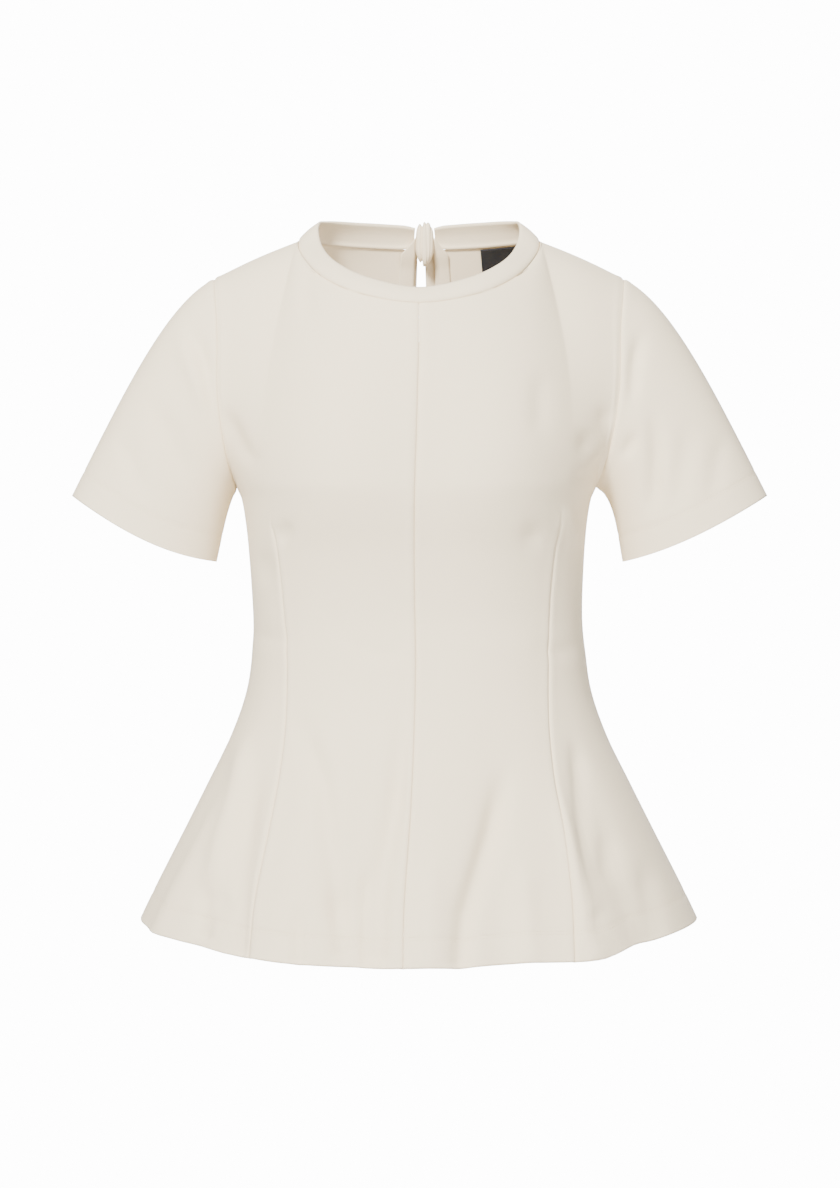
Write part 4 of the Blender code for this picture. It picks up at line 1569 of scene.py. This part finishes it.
@dataclass
class Body:
    """The four panels of the body.

    A cut is a flat width, length and area, and is not used. The calm values say where the creases die
    out before a seam, as shares across and in rows; dart_run_out says over which rows the dart's line ends.
    """

    jersey: bpy.types.Material
    front_cut: tuple[float, float, float] = (0.34, 0.65, 0.135)
    back_cut: tuple[float, float, float] = (0.33, 0.64, 0.132)
    calm_centre: float = 0.04
    calm_side: float = 0.97
    calm_top: float = 0.8
    dart_run_out: tuple[float, float] = (0.8, -0.5)

    def lay(self) -> list[tuple[Grid, Face, Side]]:
        """Lay the panels' grids on the part's form.

        Returns:
            Each grid with its face and side.
        """
        side_seam = CENTRE_COLUMNS + SIDE_COLUMNS
        columns = spread(side_seam, (0, CENTRE_COLUMNS, side_seam))
        rows = spread(TOP_ROW, (TOP_ROW,), FIRST_ROWS_FINE)
        panels = []
        for face in Face:
            for side in Side:
                grid = Grid(
                    f"{face.name.lower()}_panel_{side.name.lower()}",
                    columns,
                    rows,
                    lambda column, row, face=face, side=side: body_point(face, side, column, row),
                )
                grid.ease_yoke(ARM_ROW, YOKE_SMOOTHING)
                grid.face_outward(BODY_MIDDLE)
                panels.append((grid, face, side))
        return panels

    def relief(self, grid: Grid, face: Face) -> Callable[[tuple[int, int], Vector], float]:
        """Relief of a panel: its creases, seams, dart and hem stitches.

        Args:
            grid: the panel.
            face: front or back.

        Returns:
            A function from a grid place and its point to a height.
        """
        last = len(grid.columns) - 1
        dart = grid.columns.index(CENTRE_COLUMNS)
        folds = FRONT_FOLDS if face is Face.FRONT else BACK_FOLDS

        seam_top = self.centre_top(face)
        dart_ends = (HEM_ROWS + self.dart_run_out[0], HEM_ROWS + self.dart_run_out[1])

        def height(place: tuple[int, int], point: Vector) -> float:
            """Height at a grid place.

            Args:
                place: the grid place.
                point: its point.

            Returns:
                The height, + out of the cloth.
            """
            row = grid.rows[place[1]]
            across = grid.columns[place[0]] / grid.columns[-1]
            inside = ease(0.0, self.calm_centre, across) * ease(1.0, self.calm_side, across)
            inside *= ease(TOP_ROW, TOP_ROW - self.calm_top, row)
            total = fold_relief(folds, point) * inside
            total += grid.seam_relief(place, 0) if row < seam_top else 0.0
            total += grid.seam_relief(place, last)
            total += grid.seam_relief(place, dart) * ease(*dart_ends, row)
            return total + stitch_profile(grid.up[place], HEM_LINES)

        return height

    @staticmethod
    def centre_top(face: Face) -> float:
        """Row up to which the centre seam runs.

        Args:
            face: front or back.

        Returns:
            The row; at the front it lies past the last one, so that the seam runs to the top.
        """
        if face is Face.FRONT:
            return inf
        return row_at_height(Face.BACK, Side.RIGHT, 0.0, KEYHOLE_BOTTOM)

    def finish(self, panels: list[tuple[Grid, Face, Side]]) -> list[bpy.types.Object]:
        """Raise, cut and thicken the panels.

        Args:
            panels: each grid with its face and side.

        Returns:
            The panels and their rows of stitches.
        """
        made = []
        for grid, face, side in panels:
            grid.raise_by(self.relief(grid, face))
            lines = [Stitching.line_on(grid, away, False) for away in HEM_LINES]
            stitches = Stitching(self.jersey).sew(f"hem_stitches_{grid.name}", lines)
            for place, vert in grid.at.items():
                vert[grid.wall] = CLOTH + TURNING_WALL * float(grid.up[place] < HEM_TURNING)
            grid.cut(grid.columns.index(CENTRE_COLUMNS), grid.rows.index(HEM_ROWS))
            grid.draw_in((True, True, False, True))
            grid.thicken(lambda column, row: row == 0)
            obj = grid.make(self.jersey)
            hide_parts(f"{face.name.lower()}_{side.name.lower()}")
            made += [obj, stitches]
        return made


@dataclass
class Sleeves:
    """The two set-in sleeves.

    The cut is the flat width all round, length and area, and is not used. The last cuff_rows of the
    part's rows get cuff_steps steps each. The calm values say, in metres, where creases die out before an
    edge.
    """

    jersey: bpy.types.Material
    cut: tuple[float, float, float] = (0.46, 0.23, 0.0525)
    cuff_rows: int = 2
    cuff_steps: int = 20
    calm_armhole: float = 0.02
    calm_cuff: tuple[float, float] = (-0.004, 0.006)

    def lay(self) -> list[tuple[Grid, Side]]:
        """Lay the sleeves' grids on the part's form.

        Returns:
            Each grid with its side.
        """
        around = [round(n / FINE, PLACE_DIGITS) for n in range(2 * YOKE_ROWS * FINE + 1)]
        steps = range(self.cuff_rows * self.cuff_steps)
        cuff = {round(SLEEVE_ROWS - n / self.cuff_steps, PLACE_DIGITS) for n in steps}
        along = sorted(set(spread(SLEEVE_ROWS, (0,))) | cuff)
        sleeves = []
        for side in Side:
            grid = Grid(
                f"sleeve_tube_{side.name.lower()}",
                around,
                along,
                lambda column, row, side=side: sleeve_point(side, column, row),
                closed=True,
            )
            middle = Vector((side.value * SLEEVE_MIDDLE.x, SLEEVE_MIDDLE.y, SLEEVE_MIDDLE.z))
            grid.face_outward(middle)
            sleeves.append((grid, side))
        return sleeves

    @staticmethod
    def from_cuff(grid: Grid, place: tuple[int, int]) -> float:
        """Distance of a grid place from the cuff, along the cloth.

        Args:
            grid: the sleeve.
            place: the grid place.

        Returns:
            The distance.
        """
        return grid.up[(place[0], len(grid.rows) - 1)] - grid.up[place]

    def height(self, grid: Grid, place: tuple[int, int], point: Vector) -> float:
        """Relief of a sleeve: its creases, its armhole seam and its cuff's stitches.

        Args:
            grid: the sleeve.
            place: the grid place.
            point: its point.

        Returns:
            The height, + out of the cloth.
        """
        away = self.from_cuff(grid, place)
        fade = ease(0.0, self.calm_armhole, grid.up[place]) * ease(*self.calm_cuff, away)
        total = fold_relief(SLEEVE_FOLDS, point) * fade
        return total + seam_profile(grid.up[place]) + stitch_profile(away, CUFF_LINES)

    def finish(self, sleeves: list[tuple[Grid, Side]]) -> list[bpy.types.Object]:
        """Raise and thicken the sleeves.

        Args:
            sleeves: each grid with its side.

        Returns:
            The sleeves and their rows of stitches.
        """
        made = []
        for grid, side in sleeves:
            last = len(grid.rows) - 1
            grid.raise_by(lambda place, point, grid=grid: self.height(grid, place, point))
            lines = [Stitching.line_on(grid, away, True) for away in CUFF_LINES]
            stitches = Stitching(self.jersey).sew(f"cuff_stitches_{side.name.lower()}", lines)
            for place, vert in grid.at.items():
                turned = self.from_cuff(grid, place) < CUFF_TURNING
                vert[grid.wall] = CLOTH + TURNING_WALL * float(turned)
            grid.draw_in((False, False, True, False))
            grid.thicken(lambda column, row, last=last: row == last)
            obj = grid.make(self.jersey)
            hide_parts(f"sleeve_{side.name.lower()}")
            made += [obj, stitches]
        return made


@dataclass
class NeckBand:
    """The folded band round the neck, with its rolled edge and the seam under it."""

    jersey: bpy.types.Material
    rows: int = 10
    roll: float = 0.0008
    seam_share: float = 0.8
    cut: tuple[float, float, float] = (0.586, 0.024, 0.0113)

    def lay(self) -> Grid:
        """Lay the band's grid on the part's form.

        Returns:
            The grid.
        """
        columns = [round(n / FINE, PLACE_DIGITS) for n in range(4 * CENTRE_COLUMNS * FINE + 1)]
        grid = Grid(
            "neck_band", columns, even(self.rows), lambda column, row: band_point(band_turn(column), row)
        )
        grid.face_outward(BODY_MIDDLE)
        return grid

    def finish(self, grid: Grid) -> bpy.types.Object:
        """Raise and thicken the band.

        Args:
            grid: the band's grid.

        Returns:
            The band.
        """

        def height(place: tuple[int, int], point: Vector) -> float:
            """Height at a grid place: its seam, and the roll of its fold.

            Args:
                place: the grid place.
                point: its point; not used.

            Returns:
                The height, + out of the cloth.
            """
            roll = self.roll * sin(pi * grid.rows[place[1]])
            return seam_profile(grid.up[place]) * self.seam_share + roll

        grid.raise_by(height)
        grid.draw_in((False, False, True, False))
        wide, last = len(grid.columns) - 1, len(grid.rows) - 1
        for vert in grid.bm.verts:
            vert[grid.wall] = FOLDED_CLOTH
        grid.thicken(lambda column, row: row == last or column in (0, wide))
        obj = grid.make(self.jersey)
        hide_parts("neckband")
        return obj


@dataclass
class Keyhole:
    """The turned-back edges of the keyhole, which step in over onto_band, heights from the band's seam."""

    jersey: bpy.types.Material
    across: int = 6
    up: int = 60
    fold_depth: float = 0.0004
    folds: int = 3
    onto_band: tuple[float, float] = (-0.018, -0.004)
    cut: tuple[float, float] = (0.0175, 0.112)

    def point(self, side: Side, across: float, up: float) -> Vector:
        """Point of a turned-back edge; across and up run from 0 to 1.

        Args:
            side: left or right.
            across: place across, from the keyhole.
            up: place up.

        Returns:
            The point.
        """
        column = across * FACING_COLUMNS
        seam = body_point(Face.BACK, side, column, TOP_ROW)
        top = FACING_TOP[0] + (FACING_TOP[1] - FACING_TOP[0]) * across
        height = FACING_BOTTOM + (top - FACING_BOTTOM) * up
        if height < seam.z:
            point = body_point(Face.BACK, side, column, row_at_height(Face.BACK, side, column, height))
        else:
            lean = (neck_edge(HALF_TURN) - neck_seam(HALF_TURN)).normalized()
            point = seam + lean * (height - seam.z) / lean.z
        on_band = ease(seam.z + self.onto_band[0], seam.z + self.onto_band[1], height)
        depth = CLOTH + LAY_GAP + (FOLDED_CLOTH - CLOTH + FACING_ON_BAND) * on_band
        soft = self.fold_depth * sin(across * self.folds * pi) * sin(up * pi)
        return point + Vector((side.value * SEAM_GAP * (1 - across), -depth + soft, 0))

    def build(self) -> list[bpy.types.Object]:
        """Build both edges.

        Returns:
            The two pieces.
        """
        made = []
        for side in Side:
            grid = lay_trim(
                f"keyhole_edge_{side.name.lower()}",
                (self.across, self.up),
                lambda across, up, side=side: self.point(side, across, up),
                TRIM_CLOTH,
                lambda column, row: column in (0, self.across),
            )
            obj = grid.make(self.jersey)
            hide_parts(f"keyhole_facing_{side.name.lower()}")
            made.append(obj)
        return made


@dataclass
class Tie:
    """The tie at the back neck: a wound knot and two free ends.

    The ends lie on the back panels over columns, a first column and a width, from back_top down.
    corner is the drop of an end's outer corner. The knot narrows below knot_narrow_from.
    """

    jersey: bpy.types.Material
    across: int = 10
    up: int = 70
    edge_roll: float = 0.0003
    columns: tuple[float, float] = (0.3, 0.5)
    back_top: float = -0.006
    ripples: int = 3
    ripple_lean: float = 2
    corner: float = 0.006
    knot_steps: tuple[int, int] = (96, 64)
    knot_narrow_from: float = 0.25
    cut: tuple[float, float] = (0.020, 0.168)

    def end_point(self, side: Side, across: float, up: float) -> Vector:
        """Point of a free end; across and up run from 0 to 1.

        Args:
            side: left or right.
            across: place across, from the inner edge.
            up: place up.

        Returns:
            The point.
        """
        down = 1 - up
        height = TAIL_TOP - TAIL_LENGTH * down
        inner = TAIL_INNER_EDGE[side.value] + side.value * TAIL_SPREAD * down**1.5
        column = self.columns[0] + self.columns[1] * across
        row = row_at_height(Face.BACK, side, column, min(height, self.back_top))
        back = body_point(Face.BACK, side, column, row).y
        behind_knot = KNOT_CENTRE.y + KNOT_HALF.y + LAY_GAP
        ripple = TAIL_RIPPLE * (1 - cos(down * self.ripples * pi + across * self.ripple_lean)) * down
        roll = self.edge_roll * (1 - (2 * across - 1) ** 4)
        y = max(back + TAIL_OUT, behind_knot) + FOLDED_CLOTH + ripple + roll
        x = inner + side.value * TAIL_WIDTH * across
        return Vector((x, y, height - self.corner * across * down**6))

    def build_ends(self) -> list[bpy.types.Object]:
        """Build the two free ends.

        Returns:
            The two pieces.
        """
        made = []
        for side in Side:
            grid = lay_trim(
                f"tie_end_{side.name.lower()}",
                (self.across, self.up),
                lambda across, up, side=side: self.end_point(side, across, up),
                FOLDED_CLOTH,
                lambda column, row: column in (0, self.across) or row in (0, self.up),
            )
            obj = grid.make(self.jersey)
            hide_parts(f"tie_tail_{side.name.lower()}")
            made.append(obj)
        return made

    def build_knot(self) -> bpy.types.Object:
        """Build the knot: an upright wrap with sunk lines between its turns.

        Returns:
            The piece.
        """
        bm = bmesh.new()
        around, up = self.knot_steps
        bmesh.ops.create_uvsphere(bm, u_segments=around, v_segments=up, radius=1.0)
        for vert in bm.verts:
            x, y, z = (abs(c) ** KNOT_SQUARE * (1 if c >= 0 else -1) for c in vert.co)
            narrow = 1 - KNOT_POINT * max(-z - self.knot_narrow_from, 0.0) ** 1.5
            sunk = sum(line.sunk(x, z) for line in KNOT_LINES)
            place = Vector((x * narrow * KNOT_HALF.x, y * KNOT_HALF.y, z * KNOT_HALF.z))
            vert.co = KNOT_CENTRE + place * (1 - sunk / KNOT_HALF.y)
        bmesh.ops.recalc_face_normals(bm, faces=bm.faces)
        map_from_front(bm)
        obj = make_object(bm, "tie_wrap", self.jersey)
        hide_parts("tie_knot")
        return obj


@dataclass(frozen=True)
class Satin:
    """Plain black woven satin of the bare label."""

    colour: tuple[float, float, float, float] = (0.010, 0.010, 0.011, 1.0)
    thread: tuple[float, float, float, float] = (0.020, 0.020, 0.022, 1.0)
    roughness: float = 0.55
    shine: float = 0.3
    thread_scale: float = 700.0

    def make(self) -> bpy.types.Material:
        """Make the material.

        Returns:
            The material.
        """
        material = bpy.data.materials.new("black_satin")
        material.use_nodes = True
        tree = material.node_tree
        shader = tree.nodes["Principled BSDF"]
        shader.inputs["Roughness"].default_value = self.roughness
        shader.inputs["Specular IOR Level"].default_value = self.shine
        where = tree.nodes.new("ShaderNodeTexCoord")
        threads = tree.nodes.new("ShaderNodeTexWave")
        threads.inputs["Scale"].default_value = self.thread_scale
        mix = tree.nodes.new("ShaderNodeMix")
        mix.data_type = "RGBA"
        mix.inputs["A"].default_value = self.colour
        mix.inputs["B"].default_value = self.thread
        tree.links.new(where.outputs["UV"], threads.inputs["Vector"])
        tree.links.new(threads.outputs["Fac"], mix.inputs["Factor"])
        tree.links.new(mix.outputs["Result"], shader.inputs["Base Color"])
        return material


@dataclass
class Label:
    """The plain label inside the back neck."""

    satin: bpy.types.Material
    across: int = 36
    up: int = 20
    step: float = 0.05
    cut: tuple[float, float] = (0.050, 0.030)

    def point(self, across: float, up: float) -> Vector:
        """Point of the label; across and up run from 0 to 1.

        Args:
            across: place across.
            up: place up.

        Returns:
            The point.
        """
        ends = [(HALF_TURN - turn) / (HALF_TURN - NECK_TURN) * CENTRE_COLUMNS for turn in LABEL_TURNS]
        column = ends[0] + (ends[1] - ends[0]) * across
        top = body_point(Face.BACK, Side.RIGHT, column, TOP_ROW)
        run = (top - body_point(Face.BACK, Side.RIGHT, column, TOP_ROW - 1)).length
        row = TOP_ROW - (LABEL_TOP_GAP + (LABEL_DEPTH - LABEL_TOP_GAP) * (1 - up)) / run
        point = body_point(Face.BACK, Side.RIGHT, column, row)
        beside = body_point(Face.BACK, Side.RIGHT, column + self.step, row) - point
        below = point - body_point(Face.BACK, Side.RIGHT, column, row - self.step)
        normal = beside.cross(below).normalized()
        if normal.dot(point - BODY_MIDDLE) < 0:
            normal.negate()
        return point - normal * (CLOTH + 2 * LAY_GAP)

    def build(self) -> bpy.types.Object:
        """Build the label.

        Returns:
            The piece.
        """
        steps = (self.across, self.up)
        grid = lay_trim("label_cloth", steps, self.point, TRIM_CLOTH, lambda column, row: False)
        obj = grid.make(self.satin)
        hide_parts("neck_label")
        return obj


@dataclass
class Stitching:
    """Rows of twin stitches round the hem and the cuffs."""

    jersey: bpy.types.Material

    @staticmethod
    def line_on(grid: Grid, away: float, from_last: bool) -> list[tuple[Vector, Vector]]:
        """Points and normals of a line at a distance from the first or the last row.

        Args:
            grid: the cloth that carries the line.
            away: distance along the cloth in metres.
            from_last: whether it is measured from the last row.

        Returns:
            The line's points and the cloth's normals there.
        """
        found = []
        high = len(grid.rows) - 1
        order = range(high, -1, -1) if from_last else range(high + 1)
        for column in range(len(grid.columns)):
            edge = grid.up[(column, high if from_last else 0)]
            before = None
            for row in order:
                here = abs(grid.up[(column, row)] - edge)
                if before is not None and here >= away:
                    share = (away - before[0]) / max(here - before[0], SMALLEST)
                    last, vert = grid.at[(column, before[1])], grid.at[(column, row)]
                    normal = last.normal.lerp(vert.normal, share).normalized()
                    found.append((last.co.lerp(vert.co, share), normal))
                    break
                before = (here, row)
        return found

    def sew(self, name: str, lines: list[list[tuple[Vector, Vector]]]) -> bpy.types.Object:
        """Lay small stitches end to end along lines.

        Args:
            name: the piece's name.
            lines: points and normals of each line.

        Returns:
            The stitches as one piece.
        """
        bm = bmesh.new()
        for line in lines:
            left = STITCH_PITCH / 2
            for (start, up), (end, _) in zip(line, line[1:]):
                run = end - start
                while left < run.length:
                    self.one(bm, start + run.normalized() * left, run.normalized(), up)
                    left += STITCH_PITCH
                left -= run.length
        map_from_front(bm)
        return make_object(bm, name, self.jersey)

    @staticmethod
    def one(bm: bmesh.types.BMesh, at: Vector, run: Vector, up: Vector) -> None:
        """Add one stitch.

        Args:
            bm: the mesh that gets it.
            at: its middle.
            run: the way it lies.
            up: the way out of the cloth.
        """
        side = run.cross(up).normalized()
        frame = Matrix((run, side, up)).transposed().to_4x4()
        shape = Matrix.Diagonal((STITCH_LONG / 2, STITCH_THICK / 2, STITCH_THICK / 2, 1.0))
        place = Matrix.Translation(at + up * STITCH_THICK * STITCH_PROUD)
        bmesh.ops.create_icosphere(bm, subdivisions=1, radius=1.0, matrix=place @ frame @ shape)


@dataclass
class Studio:
    """Pale floor, soft light and the camera straight in front."""

    floor_height: float = -1.2
    floor_half: float = 2.1
    soft: float = 0.32
    background: float = 14.0
    floor_colour: tuple[float, float, float, float] = (0.85, 0.85, 0.85, 1.0)

    def build(self) -> None:
        """Build the studio: floor, backdrop, lamps and camera."""
        self.floor()
        self.backdrop()
        for lamp in LAMPS:
            self.lamp(lamp)
        self.camera()

    def floor(self) -> None:
        """Lay the pale floor, which is part of the stage and not of the garment."""
        bm = bmesh.new()
        bmesh.ops.create_grid(bm, x_segments=1, y_segments=1, size=self.floor_half)
        mesh = bpy.data.meshes.new("floor")
        bm.to_mesh(mesh)
        bm.free()
        floor_piece = bpy.data.objects.new("floor", mesh)
        floor_piece.location.z = self.floor_height
        bpy.context.scene.collection.objects.link(floor_piece)
        material = bpy.data.materials.new("pale_floor")
        material.use_nodes = True
        shader = material.node_tree.nodes["Principled BSDF"]
        shader.inputs["Base Color"].default_value = self.floor_colour
        mesh.materials.append(material)

    def backdrop(self) -> None:
        """Light the cloth softly from all round, and show the camera a bright backdrop."""
        world = bpy.data.worlds.new("studio")
        world.use_nodes = True
        tree = world.node_tree
        tree.nodes["Background"].inputs["Strength"].default_value = 1.0
        ray = tree.nodes.new("ShaderNodeLightPath")
        mix = tree.nodes.new("ShaderNodeMix")
        mix.data_type = "RGBA"
        mix.inputs["A"].default_value = (*[self.soft] * 3, 1.0)
        mix.inputs["B"].default_value = (*[self.background] * 3, 1.0)
        tree.links.new(ray.outputs["Is Camera Ray"], mix.inputs["Factor"])
        tree.links.new(mix.outputs["Result"], tree.nodes["Background"].inputs["Color"])
        bpy.context.scene.world = world

    @staticmethod
    def lamp(lamp: Lamp) -> None:
        """Hang one soft lamp that looks at the garment.

        Args:
            lamp: the lamp.
        """
        data = bpy.data.lights.new(lamp.name, "AREA")
        data.energy = lamp.watts
        data.size = lamp.size
        data.color = lamp.colour
        obj = bpy.data.objects.new(lamp.name, data)
        obj.location = lamp.place
        towards = BODY_MIDDLE - Vector(lamp.place)
        obj.rotation_euler = towards.to_track_quat("-Z", "Y").to_euler()
        bpy.context.scene.collection.objects.link(obj)

    @staticmethod
    def camera() -> None:
        """Set the camera level with the garment's middle, straight in front."""
        data = bpy.data.cameras.new("camera")
        data.sensor_fit = "VERTICAL"
        data.sensor_height = SENSOR
        data.lens = SENSOR * -EYE.y / VIEW_HEIGHT
        obj = bpy.data.objects.new("camera", data)
        obj.location = EYE
        obj.rotation_euler = (pi / 2, 0.0, 0.0)
        bpy.context.scene.collection.objects.link(obj)
        bpy.context.scene.camera = obj


def main() -> None:
    logging.basicConfig(level=logging.INFO)
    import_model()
    jersey = Jersey().make("cream_jersey_knit")
    body, tubes, neck = Body(jersey), Sleeves(jersey), NeckBand(jersey)
    panels, sleeves, band = body.lay(), tubes.lay(), neck.lay()
    share_runs([*(p[0] for p in panels), *(s[0] for s in sleeves), band])
    made = [*body.finish(panels), *tubes.finish(sleeves), neck.finish(band)]
    made += Keyhole(jersey).build()
    tie = Tie(jersey)
    made += [*tie.build_ends(), tie.build_knot()]
    label = Label(Satin().make()).build()
    for piece in [*made, label]:
        area = sum(p.area for p in piece.data.polygons) / 2
        LOG.info("%s: %d faces, %.4f square metres", piece.name, len(piece.data.polygons), area)
    Studio().build()


if __name__ == "__main__":
    main()
